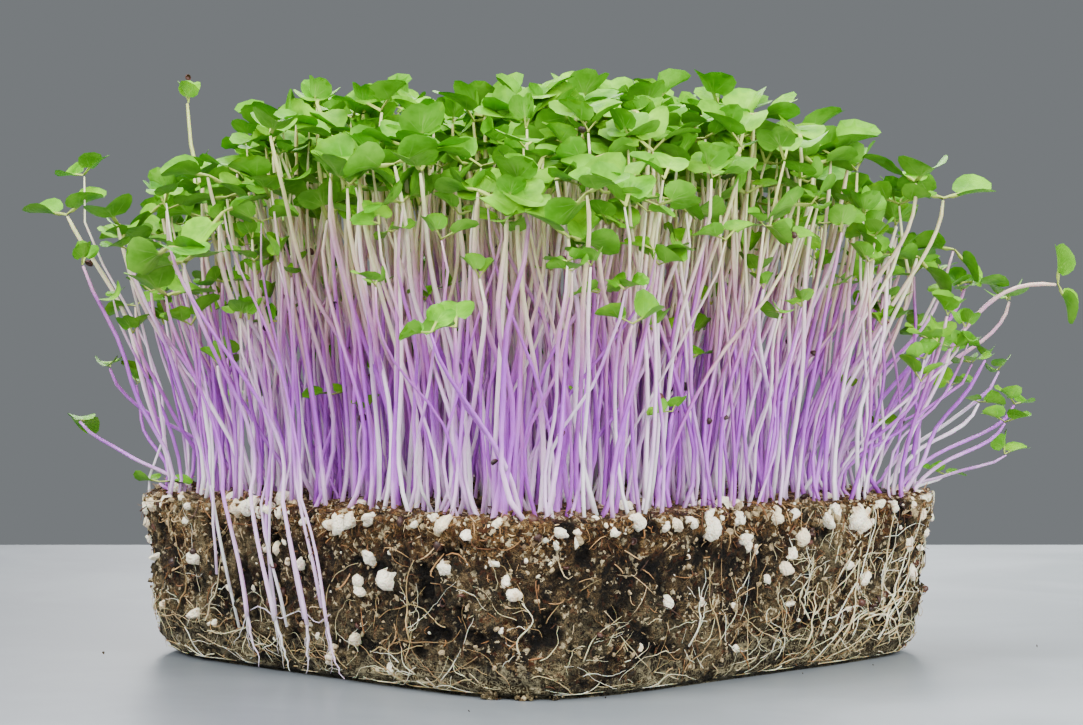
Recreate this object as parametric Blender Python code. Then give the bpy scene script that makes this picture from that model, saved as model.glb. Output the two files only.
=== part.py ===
"""A block of tray-grown microgreens, tipped out of its square tray.

The block of potting soil keeps the form of the tray: a square with round corners, walls that slope
a little and a rounded floor edge. Roots make a mat under it and climb its walls. The sprouts stand
in bunches. A bunch's feet share one knot of roots, which stands in a plain slot in the soil, and its
seed leaves lean on one another in the canopy, so that its stems are one body and its leaves another.

Metres, +Z up. The origin is the middle of the root mat's flat underside. +X and +Y are square to
two of the block's walls.
"""

import math

import bpy
import numpy as np
from mathutils.bvhtree import BVHTree

MM = 0.001
GAP = 0.35 * MM  # between two nodes that touch

# Soil block, as the tray moulded it: height and half width of its walls, which stand back at the foot
# behind the root mat
SOIL_WALL = ((1.6, 54.3), (3.8, 56.45), (7.5, 57.7), (13.0, 58.9), (20.5, 59.8), (28.8, 60.75))
SQUARENESS = 6.0  # exponent of the superellipse that gives the block its round corners
TOP_HALF = 61.0 * MM
SOIL_TOP = 31.0 * MM
CRUMB = 0.45 * MM  # how far a point of the soil's faces strays
AROUND = 40

# Root mat under the block, and the strands that climb from it
MAT_OUTSIDE = ((0.0, 54.9), (1.3, 56.8), (3.6, 58.2), (7.5, 59.2), (13.0, 60.2))
MAT_INSIDE = ((1.15, 54.5), (3.5, 56.82), (7.5, 58.1), (13.0, 59.25))
MAT_LIP = (6.0 * MM, 9.8 * MM)
STRANDS = 24
STRAND_R = 0.55 * MM

# Perlite grains that stand out of the soil
GRAINS = 25
GRAIN_R = (1.1 * MM, 2.3 * MM)

# Bunches: a square grid of slots, the outer ones near the walls
GRID = 5
INNER_PITCH = 23.0 * MM
OUTER_CENTRE = 46.5 * MM
SLOT_HALF = 9.4 * MM
SLOT_WIDE = 3.7 * MM
SLOT_DEEP = 12.0 * MM
SLOT_RECESS = 1.2 * MM  # root knot's top under the soil's mean surface
BY_WALL = (5, 3.7 * MM)  # sprouts in a bunch beside a wall, and the pitch of their feet
IN_MIDDLE = (3, 5.6 * MM)

# Sprouts
STEM_R = (0.82 * MM, 0.62 * MM)  # at the foot and under the leaves
CANOPY_TOP = 106.0 * MM
CANOPY_DROP = 23.0 * MM  # how much lower the canopy is at the block's corners
CANOPY_REACH = 83.0 * MM
FAN = 0.17  # how far the stand spreads over its foot
LEAF_THICK = 0.62 * MM
PETIOLE = (3.0 * MM, 0.5 * MM)  # length and half width
LEAF_WIDE = (6.3 * MM, 5.0 * MM)  # along and across, at the widest
LEAF_LOBE = (9.9 * MM, 3.5 * MM)
LEAF_NOTCH = 8.7 * MM
HUB_DROP = 0.95 * MM  # from the leaves' hub down to the stem's end
TRIES = 300
SIMPLE = 12  # pairs of triangles that meet where one leaf crosses another simply
CLEAR = 0.42 * MM  # what a sprout is fattened by in the tests of what it touches
LOWEST_HUB = 62.0 * MM

# Lone sprouts at two corners, out of the canopy: foot, two points that draw the stem's curve, hub, and
# the (azimuth, rise, roll, size) of both leaves
LONE = {
    "arching": (
        ((50.0, 50.0), (54.0, 54.0, 53.0), (58.0, 58.0, 73.5), (71.6, 71.6, 71.5)),
        ((3.93, 1.75, 0.1, 0.92), (0.79, -0.95, 0.2, 0.92)),
    ),
    "leaning": (
        ((-50.6, -50.0), (-52.5, -53.0, 56.0), (-57.0, -56.5, 64.0), (-65.5, -64.5, 85.0)),
        ((3.75, 0.25, -0.2, 1.0), (0.55, 0.75, 0.2, 1.0)),
    ),
}

# Sprouts whose seeds fell between soil and tray, and which grew up along the wall at -Y
WALL_FEET = (-15.0 * MM, -7.0 * MM, 2.0 * MM, 7.5 * MM)
WALL_FOOT_Z = 10.0 * MM

COLOURS = {
    "soil": (0.062, 0.040, 0.024, 0.95),
    "roots": (0.60, 0.54, 0.40, 0.70),
    "stems": (0.56, 0.43, 0.66, 0.45),
    "leaves": (0.22, 0.44, 0.07, 0.50),
}


# ---------------------------------------------------------------- the block's form


def round_square(angle, half):
    """The point at that angle on a superellipse of that half width."""
    c, s = math.cos(angle), math.sin(angle)
    r = half / (abs(c) ** SQUARENESS + abs(s) ** SQUARENESS) ** (1 / SQUARENESS)
    return r * c, r * s


def wall_point(angle, z, out=0.0, profile=SOIL_WALL):
    """A point on the faceted wall of that profile, or out from it."""
    half = np.interp(z / MM, *zip(*profile)) * MM + out
    facet, share = divmod(angle * AROUND / (2 * math.pi) - 0.5, 1)
    left, right = (round_square(2 * math.pi * (facet + end) / AROUND, half) for end in (0.5, 1.5))
    return np.array([*(np.array(left) * (1 - share) + np.array(right) * share), z])


def top_z(x, y):
    """Height of the soil's uneven top."""
    a, b = x / MM, y / MM
    waves = math.sin(0.11 * a + 0.6) * math.cos(0.13 * b - 0.4) + 0.6 * math.sin(0.19 * a - 0.16 * b)
    return SOIL_TOP + 0.65 * MM * waves


# ---------------------------------------------------------------- meshes


def tube(path, radii, sides=3):
    """A closed tube along a path, its sides turned as little as possible from ring to ring."""
    path = np.asarray(path, float)
    along = np.gradient(path, axis=0)
    along /= np.linalg.norm(along, axis=1)[:, None]
    side = np.cross(along[0], (0.31, 0.95, 0.1))
    points = []
    for p, d, r in zip(path, along, radii):
        side = side - d * (side @ d)
        side /= np.linalg.norm(side)
        other = np.cross(d, side)
        for k in range(sides):
            a = 2 * math.pi * k / sides
            points.append(p + r * (math.cos(a) * side + math.sin(a) * other))
    faces = []
    for ring in range(len(path) - 1):
        for k in range(sides):
            a, b = ring * sides + k, ring * sides + (k + 1) % sides
            faces.append((a, b, b + sides, a + sides))
    last = (len(path) - 1) * sides
    faces.append(tuple(range(sides))[::-1])
    faces.append(tuple(last + k for k in range(sides)))
    return np.array(points), faces


def curve(control, count):
    """Points at even steps along the cubic Bezier curve of four control points."""
    t = np.linspace(0, 1, count)[:, None]
    p0, p1, p2, p3 = (np.asarray(p, float) for p in control)
    return (1 - t) ** 3 * p0 + 3 * t * (1 - t) ** 2 * p1 + 3 * t**2 * (1 - t) * p2 + t**3 * p3


def blade_frame(azimuth, rise, roll):
    """Unit vectors along a seed leaf, across it to the left, and up out of its face."""
    d = np.array([math.cos(azimuth) * math.cos(rise), math.sin(azimuth) * math.cos(rise), math.sin(rise)])
    level = np.array([-math.sin(azimuth), math.cos(azimuth), 0.0])
    up = np.cross(d, level)
    s = math.cos(roll) * level + math.sin(roll) * up
    return d, s, np.cross(d, s)


def unit(vector):
    return vector / np.linalg.norm(vector)


def hub_up(blades):
    """The way that a pair of seed leaves faces."""
    return unit(sum(blade_frame(*b[:3])[2] for b in blades))


def leaf_pair(hub, blades, margin=0.0):
    """A closed mesh of the two seed leaves on one hub. Each blade is (azimuth, rise, roll, size).

    A blade is a thin arched plate: a short stalk, two round shoulders and two lobes with a notch
    between them. Both faces are split into the same triangles. margin makes it fatter all round.
    """
    points, faces = [], []
    half_t = LEAF_THICK / 2 + margin
    frames = [blade_frame(*b[:3]) for b in blades]
    across = unit(frames[0][1] - frames[1][1])
    for side in (-1, 1):
        p = hub + side * across * (PETIOLE[1] + margin)
        points += [p + half_t * hub_up(blades), p - half_t * hub_up(blades)]
    for k, (d, s, n) in enumerate(frames):
        size = blades[k][3]
        outline = [PETIOLE, LEAF_WIDE, LEAF_LOBE]
        outline = [(u * size + margin, v * (size if i else 1) + margin) for i, (u, v) in enumerate(outline)]
        outline = [(u, -v) for u, v in outline] + [(LEAF_NOTCH * size + margin, 0)] + [(u, v) for u, v in outline[::-1]]
        base = len(points)
        for u, v in outline:
            arch = 1.1 * (v / LEAF_WIDE[1]) ** 2 - 1.0 * (u / LEAF_LOBE[0]) ** 2
            p = hub + u * d + v * s + arch * MM * n
            points += [p + half_t * n, p - half_t * n]
        right, left = (0, 2) if k == 0 else (2, 0)
        q_r, w_r, l_r, notch, l_l, w_l, q_l = range(base, base + 14, 2)
        top = [(right, q_r, q_l), (right, q_l, left), (q_r, w_r, notch), (w_r, l_r, notch)]
        top += [(q_r, notch, q_l), (q_l, notch, w_l), (w_l, notch, l_l)]
        faces += top + [(a + 1, c + 1, b + 1) for a, b, c in top]
        rim = [right, q_r, w_r, l_r, notch, l_l, w_l, q_l, left]
        faces += [(a + 1, b + 1, b, a) for a, b in zip(rim, rim[1:])]
    return np.array(points), faces


def link(name, points, faces):
    mesh = bpy.data.meshes.new(name)
    mesh.from_pydata([tuple(p) for p in points], [], [tuple(f) for f in faces])
    mesh.update()
    made = bpy.data.objects.new(name, mesh)
    bpy.context.scene.collection.objects.link(made)
    return made


def material(kind):
    """The plain finish of one kind of piece."""
    if kind in bpy.data.materials:
        return bpy.data.materials[kind]
    red, green, blue, rough = COLOURS[kind]
    made = bpy.data.materials.new(kind)
    made.use_nodes = True
    shader = made.node_tree.nodes["Principled BSDF"]
    shader.inputs["Base Color"].default_value = (red, green, blue, 1)
    shader.inputs["Roughness"].default_value = rough
    return made


def apply_boolean(target, operation, **operand):
    """Applies one Boolean, and removes the objects that went into it."""
    boolean = target.modifiers.new(operation, "BOOLEAN")
    boolean.operation = operation
    boolean.solver = "EXACT"
    others = operand["collection"]
    boolean.operand_type = "COLLECTION"
    boolean.collection = others
    graph = bpy.context.evaluated_depsgraph_get()
    joined = bpy.data.meshes.new_from_object(target.evaluated_get(graph))
    target.modifiers.clear()
    target.data = joined
    for other in list(others.objects):
        bpy.data.objects.remove(other)
    bpy.data.collections.remove(others)


def combine(name, pieces, operation="UNION"):
    """One object made of the first (points, faces) and all the others, by one Boolean."""
    target = link(name, *pieces[0])
    if len(pieces) > 1:
        others = bpy.data.collections.new(name + "_rest")
        bpy.context.scene.collection.children.link(others)
        for k, piece in enumerate(pieces[1:]):
            other = link(f"{name}_rest{k}", *piece)
            bpy.context.scene.collection.objects.unlink(other)
            others.objects.link(other)
        apply_boolean(target, operation, collection=others)
    return target


def box(centre, direction, length, width, low, high):
    """An upright box whose long side lies along direction."""
    d = np.array([direction[0], direction[1], 0.0])
    s = np.array([-direction[1], direction[0], 0.0])
    corners = [d * a * length / 2 + s * b * width / 2 for a, b in ((-1, -1), (1, -1), (1, 1), (-1, 1))]
    points = [np.array([centre[0], centre[1], z]) + c for z in (low, high) for c in corners]
    return points, [(3, 2, 1, 0), (4, 5, 6, 7), (0, 1, 5, 4), (1, 2, 6, 5), (2, 3, 7, 6), (3, 0, 4, 7)]


# ---------------------------------------------------------------- the stand of sprouts


def slots():
    """Centre and direction of each bunch's slot: along the wall near a wall, any way in the middle."""
    rng = np.random.default_rng(11)
    steps = [-OUTER_CENTRE, -INNER_PITCH, 0.0, INNER_PITCH, OUTER_CENTRE]
    found = []
    for i, x in enumerate(steps):
        for j, y in enumerate(steps):
            at_x, at_y = i in (0, GRID - 1), j in (0, GRID - 1)
            if at_x and at_y:
                turn = math.atan2(y, x) + math.pi / 2 + rng.uniform(-0.15, 0.15)
                x, y = 0.94 * x, 0.94 * y
            elif at_x or at_y:
                turn = (math.pi / 2 if at_x else 0.0) + rng.uniform(-0.3, 0.3)
            else:
                turn = rng.uniform(0, math.pi)
            found.append((np.array([x, y]) + rng.uniform(-1, 1, 2) * MM, turn))
    return found


def all_slots():
    """Centre, direction and half length of every slot, the lone sprouts' short ones too."""
    lone = [(np.array(LONE[name][0][0]) * MM, math.pi / 4, SLOT_WIDE / 2) for name in LONE]
    return [(centre, turn, SLOT_HALF) for centre, turn in slots()] + lone


def canopy_z(x, y):
    """Height of the domed canopy's top."""
    return CANOPY_TOP - CANOPY_DROP * (math.hypot(x, y) / CANOPY_REACH) ** 4


class Sprout:
    """One sprout: the control points of its stem, and its pair of seed leaves."""

    def __init__(self, feet, hub, bend, blades, arch=None):
        self.feet, self.hub, self.bend, self.blades, self.arch = feet, hub, bend, blades, arch

    def stem_path(self, count=4):
        """Up along the wall where it grew there, then a soft S from the last foot point to the hub."""
        foot, end = self.feet[-1], self.hub - HUB_DROP * hub_up(self.blades)
        lean, rise = (end - foot)[:2], (end - foot)[2]
        low, high = self.bend - 0.25 * lean, 0.5 * self.bend + 0.1 * lean
        control = [foot, foot + (*low, 0.36 * rise), end - (*high, 0.30 * rise), end]
        if self.arch:
            control, count = [foot, *(np.array(p) * MM for p in self.arch), end], 6
        path = curve(control, count)
        if len(self.feet) == 1:  # the foot moves so that the stem comes up in the middle of its slot
            lean = (path[1] - path[0])[:2] / (path[1] - path[0])[2]
            path[0, :2] -= lean * min(1, 0.15 / np.linalg.norm(lean)) * (SOIL_TOP - foot[2])
        return np.vstack([*[p[None] for p in self.feet[:-1]], path])

    def stem(self, margin=0.0):
        path = self.stem_path()
        return tube(path, np.linspace(*STEM_R, len(path)) + margin)

    def leaves(self, margin=0.0):
        return leaf_pair(self.hub, self.blades, margin)

    def blade_point(self, blade, u):
        """A point on the middle line of one of the blades."""
        d, _, n = blade_frame(*self.blades[blade][:3])
        return self.hub + u * d - (u / LEAF_LOBE[0]) ** 2 * MM * n

    def settle(self, bunch):
        """Keeps what later sprouts are tested against."""
        stem, leaves, thin = self.stem(), self.leaves(), self.leaves(-0.1 * MM)
        points = np.vstack([stem[0], leaves[0]])
        self.low, self.high, self.bunch = points.min(0), points.max(0), bunch
        self.stem_tree, self.leaf_tree, self.thin_tree = tree(stem), tree(leaves), tree(thin)


def tree(shape):
    """A search tree of a shape's triangles."""
    points, faces = shape
    return BVHTree.FromPolygons(points.tolist(), faces)


def is_clear(sprout, placed, bunch):
    """True if the sprout keeps clear of all that isn't fused with it."""
    if tree(sprout.stem()).overlap(tree(sprout.leaves())):
        return False
    stem, leaves = sprout.stem(CLEAR), sprout.leaves(CLEAR)
    points = np.vstack([stem[0], leaves[0]])
    low, high = points.min(0) - CLEAR, points.max(0) + CLEAR
    stem, leaves = tree(stem), tree(leaves)
    for other in placed:
        if (other.low > high).any() or (other.high < low).any():
            continue
        if leaves.overlap(other.stem_tree) or stem.overlap(other.leaf_tree):
            return False
        if other.bunch != bunch and (stem.overlap(other.stem_tree) or leaves.overlap(other.leaf_tree)):
            return False
    return True


def draw_first(rng, feet, aim):
    """The first sprout of a bunch: its leaves may point any way."""
    azimuth = rng.uniform(0, 2 * math.pi)
    hub = aim + rng.normal(0, 1.5, 3) * MM
    size = rng.uniform(0.92, 1.1)
    blades = [
        (azimuth, rng.uniform(-0.05, 0.5), rng.uniform(-0.3, 0.3), size),
        (azimuth + math.pi + rng.uniform(-0.35, 0.35), rng.uniform(-0.05, 0.5), rng.uniform(-0.3, 0.3), size),
    ]
    return Sprout(feet, hub, rng.uniform(-3, 3, 2) * MM, blades)


def draw_next(rng, feet, aim, bunch):
    """A further sprout: a lobe of one of its leaves is pushed through a leaf of a neighbour."""
    spots = [s.blade_point(b, u * s.blades[b][3]) for s in bunch for b in (0, 1) for u in (5.0 * MM, 6.6 * MM)]
    spots.sort(key=lambda spot: float(np.linalg.norm(spot - aim)))
    target = spots[min(int(rng.exponential(1.5)), len(spots) - 1)]
    away = math.atan2(aim[1] - target[1], aim[0] - target[0]) + rng.normal(0, 0.6)
    rise = (-1 if aim[2] > target[2] else 1) * rng.uniform(0.15, 0.75)
    size = rng.uniform(0.92, 1.1)
    first = (away + math.pi, rise, rng.uniform(-0.45, 0.45), size)
    d, s, n = blade_frame(*first[:3])
    u, v = LEAF_LOBE[0] - 1.6 * MM, (LEAF_LOBE[1] - 0.2 * MM) * rng.choice((-1, 1))
    hub = target - size * (u * d + v * s)
    second = (away + rng.uniform(-0.4, 0.4), rng.uniform(-0.05, 0.6), rng.uniform(-0.35, 0.35), size)
    return Sprout(feet, hub, rng.uniform(-3, 3, 2) * MM, [first, second])


def crossing(sprout, bunch):
    """How many triangles its leaves share with the bunch's, or 0 where they don't cut clean through."""
    thin = tree(sprout.leaves(-0.1 * MM))
    if not any(len(thin.overlap(s.thin_tree)) >= 4 for s in bunch):
        return 0
    stem, leaves = tree(sprout.stem()), tree(sprout.leaves())
    return sum(len(leaves.overlap(s.leaf_tree)) + 2 * len(stem.overlap(s.stem_tree)) for s in bunch)


def grow_bunch(number, seats, placed, rng):
    """The sprouts of one bunch, from the middle one outwards. seats is a list of (feet, aim).

    Of the first few draws that keep clear, the one whose leaf crosses a neighbour's most simply stays.
    """
    bunch = []
    for feet, aim in seats:
        best = []
        for _ in range(TRIES):
            sprout = draw_next(rng, feet, aim, bunch) if bunch else draw_first(rng, feet, aim)
            if sprout.hub[2] < LOWEST_HUB:
                continue
            cost = crossing(sprout, bunch) if bunch else 1
            if not cost or (best and cost >= best[-1][0]) or not is_clear(sprout, placed, number):
                continue
            best.append((cost, sprout))
            if len(best) == 3 or cost <= SIMPLE:
                break
        if best:
            best[-1][1].settle(number)
            placed.append(best[-1][1])
            bunch.append(best[-1][1])
    return bunch


def slot_seats(centre, turn, rng):
    """Feet along a slot, and where each sprout's leaves should be in the canopy."""
    along = np.array([math.cos(turn), math.sin(turn)])
    across = np.array([-along[1], along[0]])
    low, fan = rng.exponential(4.5) * MM, FAN
    if min(centre) > OUTER_CENTRE * 0.8:  # the bunch at the +X +Y corner is sparse and leans far out
        low, fan = 12 * MM, 0.32
    count, pitch = BY_WALL if max(abs(centre)) > 1.5 * INNER_PITCH else IN_MIDDLE
    seats = []
    for order, step in enumerate((0, -1, 1, -2, 2)[:count]):
        foot = centre + along * (step * pitch + rng.uniform(-0.4, 0.4) * MM) + across * rng.uniform(-0.2, 0.2) * MM
        spread = along * step * 2.6 * MM + across * (5.2 if order % 2 else -5.2) * MM
        tip = foot * (1 + fan) + spread + rng.normal(0, 1.6, 2) * MM
        z = canopy_z(*tip) - low - abs(rng.normal(0, 4.0)) * MM
        start = np.array([*foot, SOIL_TOP - SLOT_RECESS - 2.0 * MM])
        seats.append(([start], np.array([*tip, z])))
    return seats


def wall_seats(rng):
    """Feet on the soil's -Y wall, from which the stems climb over the brim."""
    seats = []
    for x in (WALL_FEET[1], WALL_FEET[2], WALL_FEET[0], WALL_FEET[3]):
        out = STEM_R[0] + GAP + CRUMB + 0.5 * MM
        feet = []
        for z, drift in ((WALL_FOOT_Z, 0.0), (22 * MM, 1.6 * MM), (SOIL_TOP + 2 * MM, 3.4 * MM)):
            y = wall_point(math.atan2(-TOP_HALF, x), min(z, SOIL_TOP), out)[1]
            feet.append(np.array([x - drift, y - (0.4 * MM if z > SOIL_TOP else 0), z]))
        tip = np.array([x * 1.15 - 6 * MM + rng.normal(0, 3) * MM, -TOP_HALF - rng.uniform(9, 17) * MM])
        seats.append((feet, np.array([*tip, rng.uniform(66, 80) * MM])))
    return seats


def lone_sprout(name):
    (foot, *arch, hub), blades = LONE[name]
    start = np.array([foot[0] * MM, foot[1] * MM, SOIL_TOP - SLOT_RECESS - 2.0 * MM])
    return Sprout([start], np.array(hub) * MM, np.zeros(2), list(blades), arch)


def grow_stand():
    """All bunches: {number: sprouts}. Number 0 is the bunch on the wall, the others are the slots'."""
    placed, bunches = [], {}
    for name in LONE:
        bunches[name] = [lone_sprout(name)]
        bunches[name][0].settle(name)
        placed += bunches[name]
    bunches[0] = grow_bunch(0, wall_seats(np.random.default_rng(500)), placed, np.random.default_rng(501))
    for number, (centre, turn) in enumerate(slots(), 1):
        rng = np.random.default_rng(1000 + number)
        bunches[number] = grow_bunch(number, slot_seats(centre, turn, rng), placed, rng)
    return bunches


# ---------------------------------------------------------------- soil and roots


def strand_paths():
    """The roots that climb the walls: (angle, z) pairs, wandering up out of the mat's lip."""
    rng = np.random.default_rng(21)
    paths = []
    for k in range(STRANDS):
        angle = 2 * math.pi * (k + rng.uniform(0.15, 0.85)) / STRANDS
        x, y = round_square(angle, TOP_HALF)
        near_wall_stems = y < 0 and abs(y) > abs(x) and -23 * MM < x < 14 * MM
        height = rng.uniform(13, 27) * MM
        steps = [(angle, lip_z(angle))]
        for z in np.linspace(lip_z(angle), height, 4)[1:]:
            angle += rng.normal(0.0, 0.035)
            steps.append((angle, z))
        if not near_wall_stems:
            paths.append(steps)
    return paths


def lip_z(angle):
    """Height of the root mat's ragged lip."""
    wave = 0.5 + 0.28 * math.sin(5 * angle + 0.7) + 0.22 * math.sin(11 * angle)
    return MAT_LIP[0] + (MAT_LIP[1] - MAT_LIP[0]) * wave


def ring_faces(rings, around):
    """Faces between rings of points that follow one another, closed with a fan of one face at each end."""
    faces = []
    for ring in range(rings - 1):
        for k in range(around):
            a, b = ring * around + k, ring * around + (k + 1) % around
            faces.append((a, b, b + around, a + around))
    return faces


def soil_block():
    """The block: rings up the walls, over the brim and in to the middle of the uneven top."""
    rng = np.random.default_rng(5)
    angles = [2 * math.pi * (k + 0.5) / AROUND for k in range(AROUND)]
    points = []
    for z, _ in SOIL_WALL:
        stray = CRUMB if z * MM > MAT_LIP[1] else 0.0
        points += [wall_point(a, z * MM, rng.uniform(-1, 0.6) * stray) for a in angles]
    for inset, drop in ((0.7, 0.6), (2.2, 0.0)):
        for a in angles:
            x, y = round_square(a, TOP_HALF - inset * MM)
            points.append(np.array([x, y, top_z(x, y) - drop * MM]))
    for share in (0.8, 0.5, 0.2):
        for a in angles:
            x, y = round_square(a, TOP_HALF * share)
            points.append(np.array([x, y, top_z(x, y) + rng.uniform(-1, 1) * CRUMB]))
    faces = ring_faces(11, AROUND)
    faces.append(tuple(range(AROUND))[::-1])
    points.append(np.array([0, 0, top_z(0, 0)]))
    faces += [(10 * AROUND + k, 10 * AROUND + (k + 1) % AROUND, len(points) - 1) for k in range(AROUND)]
    return points, faces


def grain(centre, radius, rng):
    """An uneven grain of perlite: an icosahedron with each corner pushed in or out."""
    golden = (1 + 5**0.5) / 2
    corners = [(-1, golden, 0), (1, golden, 0), (-1, -golden, 0), (1, -golden, 0)]
    corners += [(0, -1, golden), (0, 1, golden), (0, -1, -golden), (0, 1, -golden)]
    corners += [(golden, 0, -1), (golden, 0, 1), (-golden, 0, -1), (-golden, 0, 1)]
    faces = [(0, 11, 5), (0, 5, 1), (0, 1, 7), (0, 7, 10), (0, 10, 11), (1, 5, 9), (5, 11, 4), (11, 10, 2)]
    faces += [(10, 7, 6), (7, 1, 8), (3, 9, 4), (3, 4, 2), (3, 2, 6), (3, 6, 8), (3, 8, 9), (4, 9, 5)]
    faces += [(2, 4, 11), (6, 2, 10), (8, 6, 7), (9, 8, 1)]
    size = radius / math.hypot(1, golden)
    return [centre + np.array(c) * size * rng.uniform(0.82, 1.15) for c in corners], faces


def perlite(strands, bunches):
    """Grains half sunk in the walls and the top, clear of roots, slots and wall stems."""
    rng = np.random.default_rng(31)
    roots = [wall_point(a, z, STRAND_R) for path in strands for a, z in path]
    roots += [p for s in bunches[0] for p in s.stem_path() if p[2] < SOIL_TOP + 3 * MM]
    middles = [(a + b) / 2 for a, b in zip(roots, roots[1:]) if np.linalg.norm(a - b) < 15 * MM]
    roots = np.array(roots + middles)
    found, centres = [], []
    while len(found) < GRAINS:
        radius = rng.uniform(*GRAIN_R)
        if rng.random() < 0.75:
            centre = wall_point(rng.uniform(0, 2 * math.pi), rng.uniform(14.5, 27) * MM, -0.15 * radius)
        else:
            x, y = round_square(rng.uniform(0, 2 * math.pi), TOP_HALF * rng.uniform(0.3, 0.92))
            centre = np.array([x, y, top_z(x, y)])
            off = [abs(np.cross((math.cos(t), math.sin(t)), centre[:2] - c)) for c, t, half in all_slots()
                   if np.linalg.norm(centre[:2] - c) < half + 5 * MM]
            if off and min(off) < radius + 3.4 * MM:
                continue
        if np.linalg.norm(roots - centre, axis=1).min() < radius + 2.4 * MM:
            continue
        if centres and np.linalg.norm(np.array(centres) - centre, axis=1).min() < 6 * MM:
            continue
        centres.append(centre)
        found.append(grain(centre, radius, rng))
    return found


def make_soil(strands, bunches):
    """The block with its grains, cut with one plain slot for each bunch."""
    combine("soil_block_whole", [soil_block(), *perlite(strands, bunches)])
    whole = bpy.data.objects["soil_block_whole"]
    cutters = bpy.data.collections.new("slot_cutters")
    bpy.context.scene.collection.children.link(cutters)
    for centre, turn, half in all_slots():
        direction = (math.cos(turn), math.sin(turn))
        low = SOIL_TOP - SLOT_RECESS - SLOT_DEEP - GAP
        cutter = link("cutter", *box(centre, direction, 2 * half, SLOT_WIDE, low, SOIL_TOP + 6 * MM))
        bpy.context.scene.collection.objects.unlink(cutter)
        cutters.objects.link(cutter)
    apply_boolean(whole, "DIFFERENCE", collection=cutters)
    whole.name = whole.data.name = "soil_block"
    whole.data.materials.append(material("soil"))


def mat_shell():
    """A shallow dish of matted roots under the soil, flat below, with a ragged lip."""
    angles = [2 * math.pi * (k + 0.5) / AROUND for k in range(AROUND)]
    points = []
    for z in (0.0, 1.3, 3.6):
        points += [wall_point(a, z * MM, 0, MAT_OUTSIDE) for a in angles]
    for profile in (MAT_OUTSIDE, MAT_INSIDE):
        mid = [min(lip_z(a) - 0.6 * MM, 7.5 * MM) for a in angles]
        rings = [[wall_point(a, z, 0, profile) for a, z in zip(angles, mid)]]
        rings.append([wall_point(a, lip_z(a), 0, profile) for a in angles])
        points += sum(rings if profile is MAT_OUTSIDE else rings[::-1], [])
    for z in (3.5, 1.15):
        points += [wall_point(a, z * MM, 0, MAT_INSIDE) for a in angles]
    faces = ring_faces(9, AROUND)
    faces.append(tuple(range(AROUND))[::-1])
    faces.append(tuple(8 * AROUND + k for k in range(AROUND)))
    return points, faces


def make_roots(strands):
    """The mat, with the strands that climb the walls fused to its lip."""
    inside, outside = 1.0 * MM, STRAND_R + GAP + 0.7 * CRUMB
    climbing = []
    for steps in strands:
        angle = steps[0][0]
        path = [wall_point(angle, lip_z(angle) - drop, inside) for drop in (2.1 * MM, 0.3 * MM)]
        path += [wall_point(a, z, outside) for a, z in steps[1:]]
        climbing.append(tube(path, np.linspace(STRAND_R, 0.7 * STRAND_R, len(path))))
    mat = combine("root_mat", [mat_shell(), *climbing])
    mat.data.materials.append(material("roots"))


# ---------------------------------------------------------------- the bunches


def knot(centre, turn, half):
    """The knot of roots that holds a bunch's feet, a flat cake in its slot."""
    top = SOIL_TOP - SLOT_RECESS
    direction = (math.cos(turn), math.sin(turn))
    return box(centre, direction, 2 * (half - GAP), SLOT_WIDE - 2 * GAP, top - SLOT_DEEP, top)


def runner(sprouts):
    """The root that runs along the wall through the feet of the wall bunch."""
    path = sorted((s.feet[0] + (0, 0, 1.2 * MM) for s in sprouts), key=lambda p: p[0])
    path = [path[0] - (1.4 * MM, 0, 0), *path, path[-1] + (1.4 * MM, 0, 0)]
    return tube(path, [STRAND_R * 0.9] * len(path))


def make_bunches(bunches):
    """For each bunch, one body of stems on their knot of roots, and one of leaves."""
    places = dict(zip([*range(1, GRID * GRID + 1), *LONE], all_slots()))
    for number, sprouts in bunches.items():
        name = "on_wall" if number == 0 else number if number in LONE else f"{number:02d}"
        base = knot(*places[number]) if number else runner(sprouts)
        stems = combine(f"stems_{name}", [base, *[s.stem() for s in sprouts]])
        stems.data.materials.append(material("stems"))
        leaves = combine(f"leaves_{name}", [s.leaves() for s in sprouts])
        leaves.data.materials.append(material("leaves"))


def main():
    for old in list(bpy.data.objects):
        bpy.data.objects.remove(old)
    bunches = grow_stand()
    strands = strand_paths()
    make_soil(strands, bunches)
    make_roots(strands)
    make_bunches(bunches)


main()
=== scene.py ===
"""The looks of the microgreens block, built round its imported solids.

The sprouts that the solids hold are made again as fine stems and leaves on the same curves, and
several hundred more stand between them. The soil, its root mat and what sticks out of them are
surfaces worked out with numpy. All lengths are metres, in the solids' own frame.
"""

import math

import bpy
import numpy as np
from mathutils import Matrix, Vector
from mathutils.bvhtree import BVHTree


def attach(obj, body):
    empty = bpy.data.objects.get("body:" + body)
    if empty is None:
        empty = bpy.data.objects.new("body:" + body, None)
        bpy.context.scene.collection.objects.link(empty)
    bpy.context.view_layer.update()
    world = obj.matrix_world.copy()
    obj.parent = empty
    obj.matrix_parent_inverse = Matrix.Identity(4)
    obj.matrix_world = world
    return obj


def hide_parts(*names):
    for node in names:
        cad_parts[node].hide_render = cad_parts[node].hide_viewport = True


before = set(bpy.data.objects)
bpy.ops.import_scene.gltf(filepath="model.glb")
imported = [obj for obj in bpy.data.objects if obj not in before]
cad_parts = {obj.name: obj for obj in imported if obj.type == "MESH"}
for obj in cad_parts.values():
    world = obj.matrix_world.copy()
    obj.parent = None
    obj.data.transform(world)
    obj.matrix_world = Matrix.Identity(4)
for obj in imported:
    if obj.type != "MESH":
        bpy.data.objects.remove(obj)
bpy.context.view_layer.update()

MM = 0.001
GAP = 0.35 * MM  # between two nodes that touch

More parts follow.
